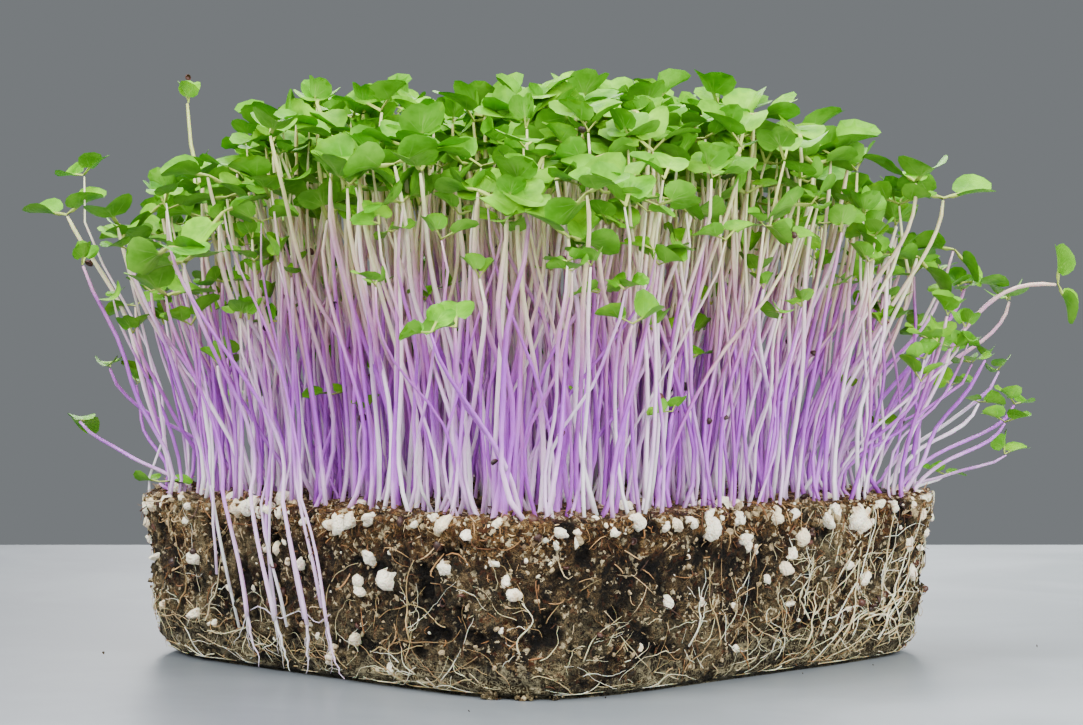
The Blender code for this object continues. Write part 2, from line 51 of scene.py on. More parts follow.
# Soil block, as the tray moulded it: height and half width of its walls, which stand back at the foot
# behind the root mat
SOIL_WALL = ((1.6, 54.3), (3.8, 56.45), (7.5, 57.7), (13.0, 58.9), (20.5, 59.8), (28.8, 60.75))
SQUARENESS = 6.0  # exponent of the superellipse that gives the block its round corners
TOP_HALF = 61.0 * MM
SOIL_TOP = 31.0 * MM
CRUMB = 0.45 * MM  # how far a point of the soil's faces strays
AROUND = 40  # facets of the solids' walls

# Root mat under the block, and the strands that climb from it
MAT_OUTSIDE = ((0.0, 54.9), (1.3, 56.8), (3.6, 58.2), (7.5, 59.2), (13.0, 60.2))
MAT_INSIDE = ((1.15, 54.5), (3.5, 56.82), (7.5, 58.1), (13.0, 59.25))
MAT_LIP = (6.0 * MM, 9.8 * MM)
STRANDS = 24
STRAND_R = 0.55 * MM

# Perlite grains that stand out of the soil
GRAINS = 25
GRAIN_R = (1.1 * MM, 2.3 * MM)

# Bunches: a square grid of slots, the outer ones near the walls
GRID = 5
INNER_PITCH = 23.0 * MM
OUTER_CENTRE = 46.5 * MM
SLOT_HALF = 9.4 * MM
SLOT_WIDE = 3.7 * MM
SLOT_DEEP = 12.0 * MM
SLOT_RECESS = 1.2 * MM  # root knot's top under the soil's mean surface
BY_WALL = (5, 3.7 * MM)  # sprouts in a bunch beside a wall, and the pitch of their feet
IN_MIDDLE = (3, 5.6 * MM)

# Sprouts
STEM_R = (0.82 * MM, 0.62 * MM)  # at the foot and under the leaves
CANOPY_TOP = 106.0 * MM
CANOPY_DROP = 23.0 * MM  # how much lower the canopy is at the block's corners
CANOPY_REACH = 83.0 * MM
FAN = 0.17  # how far the stand spreads over its foot
LEAF_THICK = 0.62 * MM
PETIOLE = (3.0 * MM, 0.5 * MM)  # length and half width
LEAF_WIDE = (6.3 * MM, 5.0 * MM)  # along and across, at the widest
LEAF_LOBE = (9.9 * MM, 3.5 * MM)
LEAF_NOTCH = 8.7 * MM
HUB_DROP = 0.95 * MM  # from the leaves' hub down to the stem's end
TRIES = 300
SIMPLE = 12  # pairs of triangles that meet where one leaf crosses another simply
CLEAR = 0.42 * MM  # what a sprout is fattened by in the tests of what it touches
LOWEST_HUB = 62.0 * MM

# Lone sprouts at two corners, out of the canopy: foot, two points that draw the stem's curve, hub, and
# the (azimuth, rise, roll, size) of both leaves
LONE = {
    "arching": (
        ((50.0, 50.0), (54.0, 54.0, 53.0), (58.0, 58.0, 73.5), (71.6, 71.6, 71.5)),
        ((3.93, 1.75, 0.1, 0.92), (0.79, -0.95, 0.2, 0.92)),
    ),
    "leaning": (
        ((-50.6, -50.0), (-52.5, -53.0, 56.0), (-57.0, -56.5, 64.0), (-65.5, -64.5, 85.0)),
        ((3.75, 0.25, -0.2, 1.0), (0.55, 0.75, 0.2, 1.0)),
    ),
}

# Sprouts whose seeds fell between soil and tray, and which grew up along the wall at -Y
WALL_FEET = (-15.0 * MM, -7.0 * MM, 2.0 * MM, 7.5 * MM)
WALL_FOOT_Z = 10.0 * MM

# Looks: the loose sprouts between the bunches
FEET_PITCH = 3.9 * MM
TIP_LOW, TIP_HIGH = (-66 * MM, -76 * MM), (67 * MM, 71 * MM)  # how far out their leaves may be
HIGHEST_HUB = 106.5 * MM
WALL_SPROUTS = 13  # more of them, with their feet on the walls
ON_FRONT = 8  # how many of those climb the -Y wall
LOTS = 4  # pieces that they share, so that none has too many triangles

# Three loose sprouts drawn one by one: foot and hub in mm, rise and size of the leaves. The first two are
# tall and still wear their seed coats, the last lies on the brim
DRAWN = (
    ((-25, -50, 30), (-44.5, -51.0, 106.5), 1.35, 0.46),
    ((3.5, -45, 30), (-8.0, -50.0, 103.5), 1.25, 0.55),
    ((-46, -52, 29), (-48.5, -55.0, 33.2), 0.2, 0.55),
)

# Looks: how finely stems and leaves are cut. In a bunch: rings and sides of a stem, and the places of a
# leaf's rows from the hub at 0 to the tip at 1 and its count of columns. Then the same for loose ones
BUNCH_STEM, BUNCH_LEAF = (24, 8), ((0, 0.12, 0.2, 0.34, 0.55, 0.76, 0.92, 1), 17)
LOOSE_STEM, LOOSE_LEAF = (11, 5), ((0, 0.2, 0.42, 0.78, 1), 13)
LEAF_KNOTS = (13, 29, 49, 69, 88, 106)  # angles of a leaf's outline from its midrib, to both sides
STALK_END = 0.2  # place along a leaf where its stalk ends
RUNNER_POINTS = 12
STEM_STEPS, WALL_STEPS = 40, 14  # points along a stem, and along what lies on the wall, at first
CREASE = 75  # degrees, past which an edge of a leaf is sharp

# Looks: points round the soil and the felt, points along a root, and the soil's own ends in mm
SOIL_AROUND = 640
FELT_AROUND = 540
ROOT_POINTS = 13
BRIM = 1.8  # radius that the brim is rounded with
FOOT_Z = 0.9  # height of the lowest ring

# Looks: small things on the soil. A clump of crumbs has its angle, distance and spread in mm, and count
CRUMBS = 2300
CRUMBS_BY_FOOT = 22
CRUMB_CLUMPS = ((-0.9, 70.0, 1.0, 16), (-0.81, 71.2, 0.7, 12), (-0.74, 70.2, 0.9, 8), (-0.62, 69.0, 0.5, 3))
PERLITE = 560
PERLITE_BY_BRIM = 210
PERLITE_ON_EDGE = 34  # of those, right on its edge
PERLITE_CLUMPS = 40  # each of three grains
PERLITE_LARGE = 30
PERLITE_FINE = 1.0 * MM  # grains under this size have fewer faces
HUSKS = 110
SEEDS = 16
SEEDS_IN_VIEW = ((-2.16, 0.62), (-1.74, 0.42), (-1.68, 0.5))  # (angle, q) of three more, low on the walls
WOOD_FIBRES = 1700

# Looks: how many roots of each kind lie on the walls
SIDE_ROOTS = 6  # on each strand
LONG_ROOTS = 15  # on the +X wall
WALL_ROOTS = 300
EDGE_ROOTS = 45  # at each of two corners
FOOT_ROOTS = 430

# An icosahedron: how far its corners are from the middle, the corners and the faces
GOLDEN = (1 + 5**0.5) / 2
ICO_R = math.hypot(1, GOLDEN)
ICO_CORNERS = np.array(
    [(x, y * GOLDEN, 0) for y in (1, -1) for x in (-1, 1)]
    + [(0, y, z * GOLDEN) for z in (1, -1) for y in (-1, 1)]
    + [(x * GOLDEN, 0, z) for x in (1, -1) for z in (-1, 1)]
)
ICO_FACES = np.array(
    [(0, 11, 5), (0, 5, 1), (0, 1, 7), (0, 7, 10), (0, 10, 11), (1, 5, 9), (5, 11, 4), (11, 10, 2)]
    + [(10, 7, 6), (7, 1, 8), (3, 9, 4), (3, 4, 2), (3, 2, 6), (3, 6, 8), (3, 8, 9), (4, 9, 5)]
    + [(2, 4, 11), (6, 2, 10), (8, 6, 7), (9, 8, 1)]
)

# ---------------------------------------------------------------- the block's form


def round_square(angle, half):
    """The point at that angle on a superellipse of that half width."""
    c, s = math.cos(angle), math.sin(angle)
    r = half / (abs(c) ** SQUARENESS + abs(s) ** SQUARENESS) ** (1 / SQUARENESS)
    return r * c, r * s


def wall_point(angle, z, out=0.0, profile=SOIL_WALL):
    """A point on the faceted wall of that profile, or out from it."""
    half = np.interp(z / MM, *zip(*profile)) * MM + out
    facet, share = divmod(angle * AROUND / (2 * math.pi) - 0.5, 1)
    left, right = (round_square(2 * math.pi * (facet + end) / AROUND, half) for end in (0.5, 1.5))
    return np.array([*(np.array(left) * (1 - share) + np.array(right) * share), z])


def top_z(x, y):
    """Height of the soil's uneven top."""
    a, b = x / MM, y / MM
    waves = np.sin(0.11 * a + 0.6) * np.cos(0.13 * b - 0.4) + 0.6 * np.sin(0.19 * a - 0.16 * b)
    return SOIL_TOP + 0.65 * MM * waves


# ---------------------------------------------------------------- meshes


def tube(path, radii, sides=3):
    """A closed tube along a path, its sides turned as little as possible from ring to ring."""
    path = np.asarray(path, float)
    along = np.gradient(path, axis=0)
    along /= np.linalg.norm(along, axis=1)[:, None]
    side = np.cross(along[0], (0.31, 0.95, 0.1))
    points = []
    for p, d, r in zip(path, along, radii):
        side = side - d * (side @ d)
        side /= np.linalg.norm(side)
        other = np.cross(d, side)
        for k in range(sides):
            a = 2 * math.pi * k / sides
            points.append(p + r * (math.cos(a) * side + math.sin(a) * other))
    faces = []
    for ring in range(len(path) - 1):
        for k in range(sides):
            a, b = ring * sides + k, ring * sides + (k + 1) % sides
            faces.append((a, b, b + sides, a + sides))
    last = (len(path) - 1) * sides
    faces.append(tuple(range(sides))[::-1])
    faces.append(tuple(last + k for k in range(sides)))
    return np.array(points), faces


def curve(control, count):
    """Points at even steps along the cubic Bezier curve of four control points."""
    t = np.linspace(0, 1, count)[:, None]
    p0, p1, p2, p3 = (np.asarray(p, float) for p in control)
    return (1 - t) ** 3 * p0 + 3 * t * (1 - t) ** 2 * p1 + 3 * t**2 * (1 - t) * p2 + t**3 * p3


def blade_frame(azimuth, rise, roll):
    """Unit vectors along a seed leaf, across it to the left, and up out of its face."""
    d = np.array([math.cos(azimuth) * math.cos(rise), math.sin(azimuth) * math.cos(rise), math.sin(rise)])
    level = np.array([-math.sin(azimuth), math.cos(azimuth), 0.0])
    up = np.cross(d, level)
    s = math.cos(roll) * level + math.sin(roll) * up
    return d, s, np.cross(d, s)


def unit(vector):
    """The vector made 1 long."""
    return vector / np.linalg.norm(vector)


def hub_up(blades):
    """The way that a pair of seed leaves faces."""
    return unit(sum(blade_frame(*b[:3])[2] for b in blades))


def leaf_pair(hub, blades, margin=0.0):
    """A closed mesh of the two seed leaves on one hub. Each blade is (azimuth, rise, roll, size).

    A blade is a thin arched plate: a short stalk, two round shoulders and two lobes with a notch
    between them. Both faces are split into the same triangles. margin makes it fatter all round.
    """
    points, faces = [], []
    half_t = LEAF_THICK / 2 + margin
    frames = [blade_frame(*b[:3]) for b in blades]
    across = unit(frames[0][1] - frames[1][1])
    for side in (-1, 1):
        p = hub + side * across * (PETIOLE[1] + margin)
        points += [p + half_t * hub_up(blades), p - half_t * hub_up(blades)]
    for k, (d, s, n) in enumerate(frames):
        size = blades[k][3]
        outline = [PETIOLE, LEAF_WIDE, LEAF_LOBE]
        outline = [(u * size + margin, v * (size if i else 1) + margin) for i, (u, v) in enumerate(outline)]
        right_half = [(u, -v) for u, v in outline]
        outline = [*right_half, (LEAF_NOTCH * size + margin, 0), *outline[::-1]]
        base = len(points)
        for u, v in outline:
            arch = 1.1 * (v / LEAF_WIDE[1]) ** 2 - 1.0 * (u / LEAF_LOBE[0]) ** 2
            p = hub + u * d + v * s + arch * MM * n
            points += [p + half_t * n, p - half_t * n]
        right, left = (0, 2) if k == 0 else (2, 0)
        q_r, w_r, l_r, notch, l_l, w_l, q_l = range(base, base + 14, 2)
        top = [(right, q_r, q_l), (right, q_l, left), (q_r, w_r, notch), (w_r, l_r, notch)]
        top += [(q_r, notch, q_l), (q_l, notch, w_l), (w_l, notch, l_l)]
        faces += top + [(a + 1, c + 1, b + 1) for a, b, c in top]
        rim = [right, q_r, w_r, l_r, notch, l_l, w_l, q_l, left]
        faces += [(a + 1, b + 1, b, a) for a, b in zip(rim, rim[1:])]
    return np.array(points), faces


# ---------------------------------------------------------------- the stand of sprouts


def slots():
    """Centre and direction of each bunch's slot: along the wall near a wall, any way in the middle."""
    rng = np.random.default_rng(11)
    steps = [-OUTER_CENTRE, -INNER_PITCH, 0.0, INNER_PITCH, OUTER_CENTRE]
    found = []
    for i, x in enumerate(steps):
        for j, y in enumerate(steps):
            at_x, at_y = i in (0, GRID - 1), j in (0, GRID - 1)
            if at_x and at_y:
                turn = math.atan2(y, x) + math.pi / 2 + rng.uniform(-0.15, 0.15)
                x, y = 0.94 * x, 0.94 * y
            elif at_x or at_y:
                turn = (math.pi / 2 if at_x else 0.0) + rng.uniform(-0.3, 0.3)
            else:
                turn = rng.uniform(0, math.pi)
            found.append((np.array([x, y]) + rng.uniform(-1, 1, 2) * MM, turn))
    return found


def all_slots():
    """Centre, direction and half length of every slot, the lone sprouts' short ones too."""
    lone = [(np.array(LONE[name][0][0]) * MM, math.pi / 4, SLOT_WIDE / 2) for name in LONE]
    return [(centre, turn, SLOT_HALF) for centre, turn in slots()] + lone


def canopy_z(x, y):
    """Height of the domed canopy's top."""
    return CANOPY_TOP - CANOPY_DROP * (math.hypot(x, y) / CANOPY_REACH) ** 4


class Sprout:
    """One sprout: the control points of its stem, and its pair of seed leaves."""

    def __init__(self, feet, hub, bend, blades, arch=None):
        self.feet, self.hub, self.bend, self.blades, self.arch = feet, hub, bend, blades, arch

    def control(self):
        """Four control points of the stem's curve, from the last foot point to under the leaves."""
        foot, end = self.feet[-1], self.hub - HUB_DROP * hub_up(self.blades)
        if self.arch:
            return [foot, *(np.array(p) * MM for p in self.arch), end]
        lean, rise = (end - foot)[:2], (end - foot)[2]
        low, high = self.bend - 0.25 * lean, 0.5 * self.bend + 0.1 * lean
        return [foot, foot + (*low, 0.36 * rise), end - (*high, 0.30 * rise), end]

    def stem_path(self, count=4):
        """Up along the wall where it grew there, then a soft S from the last foot point to the hub."""
        path = curve(self.control(), max(count, 6) if self.arch else count)
        if len(self.feet) == 1:  # the foot moves so that the stem comes up in the middle of its slot
            lean = (path[1] - path[0])[:2] / (path[1] - path[0])[2]
            path[0, :2] -= lean * min(1, 0.15 / np.linalg.norm(lean)) * (SOIL_TOP - self.feet[0][2])
        return np.vstack([*[p[None] for p in self.feet[:-1]], path])

    def stem(self, margin=0.0):
        """The stem's tube, fattened by the margin."""
        path = self.stem_path()
        return tube(path, np.linspace(*STEM_R, len(path)) + margin)

    def leaves(self, margin=0.0):
        """Both seed leaves, fattened by the margin."""
        return leaf_pair(self.hub, self.blades, margin)

    def blade_point(self, blade, u):
        """A point on the middle line of one of the blades."""
        d, _, n = blade_frame(*self.blades[blade][:3])
        return self.hub + u * d - (u / LEAF_LOBE[0]) ** 2 * MM * n

    def settle(self, bunch):
        """Keeps what later sprouts are tested against."""
        stem, leaves, thin = self.stem(), self.leaves(), self.leaves(-0.1 * MM)
        points = np.vstack([stem[0], leaves[0]])
        self.low, self.high, self.bunch = points.min(0), points.max(0), bunch
        self.stem_tree, self.leaf_tree, self.thin_tree = tree(stem), tree(leaves), tree(thin)


def tree(shape):
    """A search tree of a shape's triangles."""
    points, faces = shape
    return BVHTree.FromPolygons(points.tolist(), faces)


def is_clear(sprout, placed, bunch):
    """True if the sprout keeps clear of all that isn't fused with it."""
    if tree(sprout.stem()).overlap(tree(sprout.leaves())):
        return False
    stem, leaves = sprout.stem(CLEAR), sprout.leaves(CLEAR)
    points = np.vstack([stem[0], leaves[0]])
    low, high = points.min(0) - CLEAR, points.max(0) + CLEAR
    stem, leaves = tree(stem), tree(leaves)
    for other in placed:
        if (other.low > high).any() or (other.high < low).any():
            continue
        if leaves.overlap(other.stem_tree) or stem.overlap(other.leaf_tree):
            return False
        if other.bunch != bunch and (stem.overlap(other.stem_tree) or leaves.overlap(other.leaf_tree)):
            return False
    return True


def draw_first(rng, feet, aim):
    """The first sprout of a bunch: its leaves may point any way."""
    azimuth = rng.uniform(0, 2 * math.pi)
    hub = aim + rng.normal(0, 1.5, 3) * MM
    size = rng.uniform(0.92, 1.1)
    blades = [
        (azimuth, rng.uniform(-0.05, 0.5), rng.uniform(-0.3, 0.3), size),
        (azimuth + math.pi + rng.uniform(-0.35, 0.35), rng.uniform(-0.05, 0.5), rng.uniform(-0.3, 0.3), size),
    ]
    return Sprout(feet, hub, rng.uniform(-3, 3, 2) * MM, blades)


def draw_next(rng, feet, aim, bunch):
    """A further sprout: a lobe of one of its leaves is pushed through a leaf of a neighbour."""
    out = (5.0 * MM, 6.6 * MM)
    spots = [s.blade_point(b, u * s.blades[b][3]) for s in bunch for b in (0, 1) for u in out]
    spots.sort(key=lambda spot: float(np.linalg.norm(spot - aim)))
    target = spots[min(int(rng.exponential(1.5)), len(spots) - 1)]
    away = math.atan2(aim[1] - target[1], aim[0] - target[0]) + rng.normal(0, 0.6)
    rise = (-1 if aim[2] > target[2] else 1) * rng.uniform(0.15, 0.75)
    size = rng.uniform(0.92, 1.1)
    first = (away + math.pi, rise, rng.uniform(-0.45, 0.45), size)
    d, s, _ = blade_frame(*first[:3])
    u, v = LEAF_LOBE[0] - 1.6 * MM, (LEAF_LOBE[1] - 0.2 * MM) * rng.choice((-1, 1))
    hub = target - size * (u * d + v * s)
    second = (away + rng.uniform(-0.4, 0.4), rng.uniform(-0.05, 0.6), rng.uniform(-0.35, 0.35), size)
    return Sprout(feet, hub, rng.uniform(-3, 3, 2) * MM, [first, second])


def crossing(sprout, bunch):
    """How many triangles its leaves share with the bunch's, or 0 where they don't cut clean through."""
    thin = tree(sprout.leaves(-0.1 * MM))
    if not any(len(thin.overlap(s.thin_tree)) >= 4 for s in bunch):
        return 0
    stem, leaves = tree(sprout.stem()), tree(sprout.leaves())
    return sum(len(leaves.overlap(s.leaf_tree)) + 2 * len(stem.overlap(s.stem_tree)) for s in bunch)


def grow_bunch(number, seats, placed, rng):
    """The sprouts of one bunch, from the middle one outwards. seats is a list of (feet, aim).

    Of the first few draws that keep clear, the one whose leaf crosses a neighbour's most simply stays.
    """
    bunch = []
    for feet, aim in seats:
        best = []
        for _ in range(TRIES):
            sprout = draw_next(rng, feet, aim, bunch) if bunch else draw_first(rng, feet, aim)
            if sprout.hub[2] < LOWEST_HUB:
                continue
            cost = crossing(sprout, bunch) if bunch else 1
            if not cost or (best and cost >= best[-1][0]) or not is_clear(sprout, placed, number):
                continue
            best.append((cost, sprout))
            if len(best) == 3 or cost <= SIMPLE:
                break
        if best:
            best[-1][1].settle(number)
            placed.append(best[-1][1])
            bunch.append(best[-1][1])
    return bunch


def slot_seats(centre, turn, rng):
    """Feet along a slot, and where each sprout's leaves should be in the canopy."""
    along = np.array([math.cos(turn), math.sin(turn)])
    across = np.array([-along[1], along[0]])
    low, fan = rng.exponential(4.5) * MM, FAN
    if min(centre) > OUTER_CENTRE * 0.8:  # the bunch at the +X +Y corner is sparse and leans far out
        low, fan = 12 * MM, 0.32
    count, pitch = BY_WALL if max(abs(centre)) > 1.5 * INNER_PITCH else IN_MIDDLE
    seats = []
    for order, step in enumerate((0, -1, 1, -2, 2)[:count]):
        foot = centre + along * (step * pitch + rng.uniform(-0.4, 0.4) * MM)
        foot = foot + across * rng.uniform(-0.2, 0.2) * MM
        spread = along * step * 2.6 * MM + across * (5.2 if order % 2 else -5.2) * MM
        tip = foot * (1 + fan) + spread + rng.normal(0, 1.6, 2) * MM
        z = canopy_z(*tip) - low - abs(rng.normal(0, 4.0)) * MM
        start = np.array([*foot, SOIL_TOP - SLOT_RECESS - 2.0 * MM])
        seats.append(([start], np.array([*tip, z])))
    return seats


def wall_seats(rng):
    """Feet on the soil's -Y wall, from which the stems climb over the brim."""
    seats = []
    for x in (WALL_FEET[1], WALL_FEET[2], WALL_FEET[0], WALL_FEET[3]):
        out = STEM_R[0] + GAP + CRUMB + 0.5 * MM
        feet = []
        for z, drift in ((WALL_FOOT_Z, 0.0), (22 * MM, 1.6 * MM), (SOIL_TOP + 2 * MM, 3.4 * MM)):
            y = wall_point(math.atan2(-TOP_HALF, x), min(z, SOIL_TOP), out)[1]
            feet.append(np.array([x - drift, y - (0.4 * MM if z > SOIL_TOP else 0), z]))
        tip = np.array([x * 1.15 - 6 * MM + rng.normal(0, 3) * MM, -TOP_HALF - rng.uniform(9, 17) * MM])
        seats.append((feet, np.array([*tip, rng.uniform(66, 80) * MM])))
    return seats


def lone_sprout(name):
    """One of the two sprouts that lean far out of the stand."""
    (foot, *arch, hub), blades = LONE[name]
    start = np.array([foot[0] * MM, foot[1] * MM, SOIL_TOP - SLOT_RECESS - 2.0 * MM])
    return Sprout([start], np.array(hub) * MM, np.zeros(2), list(blades), arch)


def grow_stand():
    """All bunches: {number: sprouts}. Number 0 is the bunch on the wall, the others are the slots'."""
    placed, bunches = [], {}
    for name in LONE:
        bunches[name] = [lone_sprout(name)]
        bunches[name][0].settle(name)
        placed += bunches[name]
    bunches[0] = grow_bunch(0, wall_seats(np.random.default_rng(500)), placed, np.random.default_rng(501))
    for number, (centre, turn) in enumerate(slots(), 1):
        rng = np.random.default_rng(1000 + number)
        bunches[number] = grow_bunch(number, slot_seats(centre, turn, rng), placed, rng)
    return bunches


def strand_paths():
    """The roots that climb the walls: (angle, z) pairs, wandering up out of the mat's lip."""
    rng = np.random.default_rng(21)
    paths = []
    for k in range(STRANDS):
        angle = 2 * math.pi * (k + rng.uniform(0.15, 0.85)) / STRANDS
        x, y = round_square(angle, TOP_HALF)
        near_wall_stems = y < 0 and abs(y) > abs(x) and -23 * MM < x < 14 * MM
        height = rng.uniform(13, 27) * MM
        steps = [(angle, lip_z(angle))]
        for z in np.linspace(lip_z(angle), height, 4)[1:]:
            angle += rng.normal(0.0, 0.035)
            steps.append((angle, z))
        if not near_wall_stems:
            paths.append(steps)
    return paths


def lip_z(angle):
    """Height of the root mat's ragged lip."""
    wave = 0.5 + 0.28 * math.sin(5 * angle + 0.7) + 0.22 * math.sin(11 * angle)
    return MAT_LIP[0] + (MAT_LIP[1] - MAT_LIP[0]) * wave


def grain(centre, radius, rng):
    """Corners of an uneven grain of perlite: an icosahedron with each corner pushed in or out."""
    return centre + ICO_CORNERS * (radius / ICO_R) * rng.uniform(0.82, 1.15, (len(ICO_CORNERS), 1))


def perlite(strands, bunches):
    """Grains half sunk in the walls and the top, clear of roots, slots and wall stems."""
    rng = np.random.default_rng(31)
    roots = [wall_point(a, z, STRAND_R) for path in strands for a, z in path]
    roots += [p for s in bunches[0] for p in s.stem_path() if p[2] < SOIL_TOP + 3 * MM]
    middles = [(a + b) / 2 for a, b in zip(roots, roots[1:]) if np.linalg.norm(a - b) < 15 * MM]
    roots = np.array(roots + middles)
    found, centres = [], []
    while len(found) < GRAINS:
        radius = rng.uniform(*GRAIN_R)
        if rng.random() < 0.75:
            centre = wall_point(rng.uniform(0, 2 * math.pi), rng.uniform(14.5, 27) * MM, -0.15 * radius)
        else:
            x, y = round_square(rng.uniform(0, 2 * math.pi), TOP_HALF * rng.uniform(0.3, 0.92))
            centre = np.array([x, y, top_z(x, y)])
            off = []
            for middle, turn, half in all_slots():
                aside = centre[:2] - middle
                if np.linalg.norm(aside) < half + 5 * MM:
                    off.append(abs(np.cross((math.cos(turn), math.sin(turn)), aside)))
            if off and min(off) < radius + 3.4 * MM:
                continue
        if np.linalg.norm(roots - centre, axis=1).min() < radius + 2.4 * MM:
            continue
        if centres and np.linalg.norm(np.array(centres) - centre, axis=1).min() < 6 * MM:
            continue
        centres.append(centre)
        found.append(grain(centre, radius, rng))
    return found


# ---------------------------------------------------------------- surfaces from arrays


def hashed(cells, salt):
    """A number from 0 to 1 for each whole-number cell: its three counts, multiplied and mixed."""
    h = cells.astype(np.int64).astype(np.uint32) * np.array([0x8DA6B343, 0xD8163841, 0xCB1AB31F], np.uint32)
    h = h[..., 0] ^ h[..., 1] ^ h[..., 2] ^ np.uint32(salt * 7919 + 1)
    for shift, factor in ((15, 0x2C1B3C6D), (12, 0x297A2D39), (15, 0x9E3779B1)):
        h = (h ^ (h >> np.uint32(shift))) * np.uint32(factor)
    return (h ^ (h >> np.uint32(16))) / 2.0**32


def soft_noise(points, size, salt):
    """Smooth noise from -1 to 1: a number at each corner of a grid of that size, eased between them."""
    scaled = points / size
    cell = np.floor(scaled)
    t = scaled - cell
    t = t * t * (3 - 2 * t)
    total = 0
    for corner in np.ndindex(2, 2, 2):
        weight = np.prod(np.where(corner, t, 1 - t), axis=-1)
        total = total + weight * hashed(cell + corner, salt)
    return 2 * total - 1


def clods(points, size, salt):
    """Distance to the nearest of the points strewn one to a cell, and that point's own number."""
    scaled = points / size
    cell = np.floor(scaled)
    nearest = np.full(points.shape[:-1], 9.0)
    own = np.zeros(points.shape[:-1])
    for step in np.ndindex(3, 3, 3):
        there = cell + np.array(step) - 1
        seed = there + np.stack([hashed(there, salt + k) for k in (1, 2, 3)], -1)
        d = np.linalg.norm(scaled - seed, axis=-1)
        own = np.where(d < nearest, hashed(there, salt + 4), own)
        nearest = np.minimum(nearest, d)
    return nearest, own


def surface(name, points, faces, uvs=None, values=None, crisp=None):
    """A mesh piece from arrays of points and of faces, each array of faces with one count of corners,
    an optional UV for each face corner and named numbers for each point. Edges that turn by more than
    crisp degrees are shaded sharp."""
    mesh = bpy.data.meshes.new(name)
    corners = np.concatenate([f.ravel() for f in faces])
    counts = np.concatenate([np.full(len(f), f.shape[1]) for f in faces])
    mesh.vertices.add(len(points))
    mesh.vertices.foreach_set("co", np.ascontiguousarray(points, np.float32).ravel())
    mesh.loops.add(len(corners))
    mesh.loops.foreach_set("vertex_index", corners.astype(np.int32))
    mesh.polygons.add(len(counts))
    mesh.polygons.foreach_set("loop_start", np.concatenate([[0], np.cumsum(counts)[:-1]]).astype(np.int32))
    if uvs is not None:
        layer = mesh.uv_layers.new(name="along")
        flat = np.concatenate([u.reshape(-1, 2) for u in uvs])
        layer.data.foreach_set("uv", np.ascontiguousarray(flat, np.float32).ravel())
    for key, numbers in (values or {}).items():
        layer = mesh.attributes.new(key, "FLOAT", "POINT")
        layer.data.foreach_set("value", np.ascontiguousarray(numbers, np.float32).ravel())
    mesh.update(calc_edges=True)
    mesh.polygons.foreach_set("use_smooth", np.ones(len(counts), bool))
    if crisp:
        mesh.set_sharp_from_angle(angle=math.radians(crisp))
    piece = bpy.data.objects.new(name, mesh)
    bpy.context.scene.collection.objects.link(piece)
    return piece


def finish_piece(piece, skin, slot, *nodes):
    """Gives a piece its finish and its body, and hides the solids that it stands for. The slot is not used.
    """
    piece.data.materials.append(skin)
    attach(piece, "root")
    if nodes:
        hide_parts(*nodes)
    return piece


def grid_faces(rows, columns, closed):
    """Corners of the faces of a grid of points, whose columns may close into a ring."""
    r, c = np.meshgrid(np.arange(rows - 1), np.arange(columns if closed else columns - 1), indexing="ij")
    here, right = r * columns + c, r * columns + (c + 1) % columns
    return np.stack([here, right, right + columns, here + columns], -1).reshape(-1, 4)


def end_caps(rows, columns):
    """Triangles that close the first and the last ring of a grid of points, each with a point of its
    own. Those two points follow the grid's."""
    k = np.arange(columns)
    after, last, hub = (k + 1) % columns, (rows - 1) * columns, np.full(columns, rows * columns)
    return np.concatenate([np.stack([hub, after, k], -1), np.stack([hub + 1, last + k, last + after], -1)])


def ringed(name, points, ends, values):
    """A closed piece from rings of points and one more point for each end, with numbers for the rings'
    points and one for the ends: {key: (numbers, number at the ends)}."""
    faces = [grid_faces(*points.shape[:2], True), end_caps(*points.shape[:2])]
    every = {key: np.append(numbers.ravel(), [at_ends] * 2) for key, (numbers, at_ends) in values.items()}
    return surface(name, np.vstack([points.reshape(-1, 3), ends]), faces, values=every)


def many_tubes(paths, radii, sides=6, squash=1.0, start=(0.31, 0.9, 0.3)):
    """Closed tubes round many paths at once: at each ring, side * cos + other * sin times the radius,
    where side is carried along the path with as little turn as possible. One point closes each end."""
    paths, radii = np.asarray(paths), np.asarray(radii)
    count, rings = paths.shape[:2]
    along = np.gradient(paths, axis=1)
    along /= np.linalg.norm(along, axis=2, keepdims=True)
    side = np.cross(along[:, 0], start)
    angle = 2 * np.pi * np.arange(sides) / sides
    points = np.empty((count, rings, sides, 3))
    for k in range(rings):
        side = side - along[:, k] * np.sum(side * along[:, k], 1, keepdims=True)
        side /= np.linalg.norm(side, axis=1, keepdims=True)
        other = np.cross(along[:, k], side) * squash
        turn = np.cos(angle)[:, None] * side[:, None] + np.sin(angle)[:, None] * other[:, None]
        points[:, k] = paths[:, k, None] + radii[:, k, None, None] * turn
    bulge = np.array([[-0.3], [0.3]])
    ends = paths[:, [0, -1]] + along[:, [0, -1]] * radii[:, [0, -1], None] * bulge
    every = np.concatenate([points.reshape(count, -1, 3), ends], 1)
    each = every.shape[1]
    base = (np.arange(count) * each)[:, None, None]
    quads = (grid_faces(rings, sides, True) + base).reshape(-1, 4)
    tris = (end_caps(rings, sides) + base).reshape(-1, 3)
    return every.reshape(-1, 3), [quads, tris], each


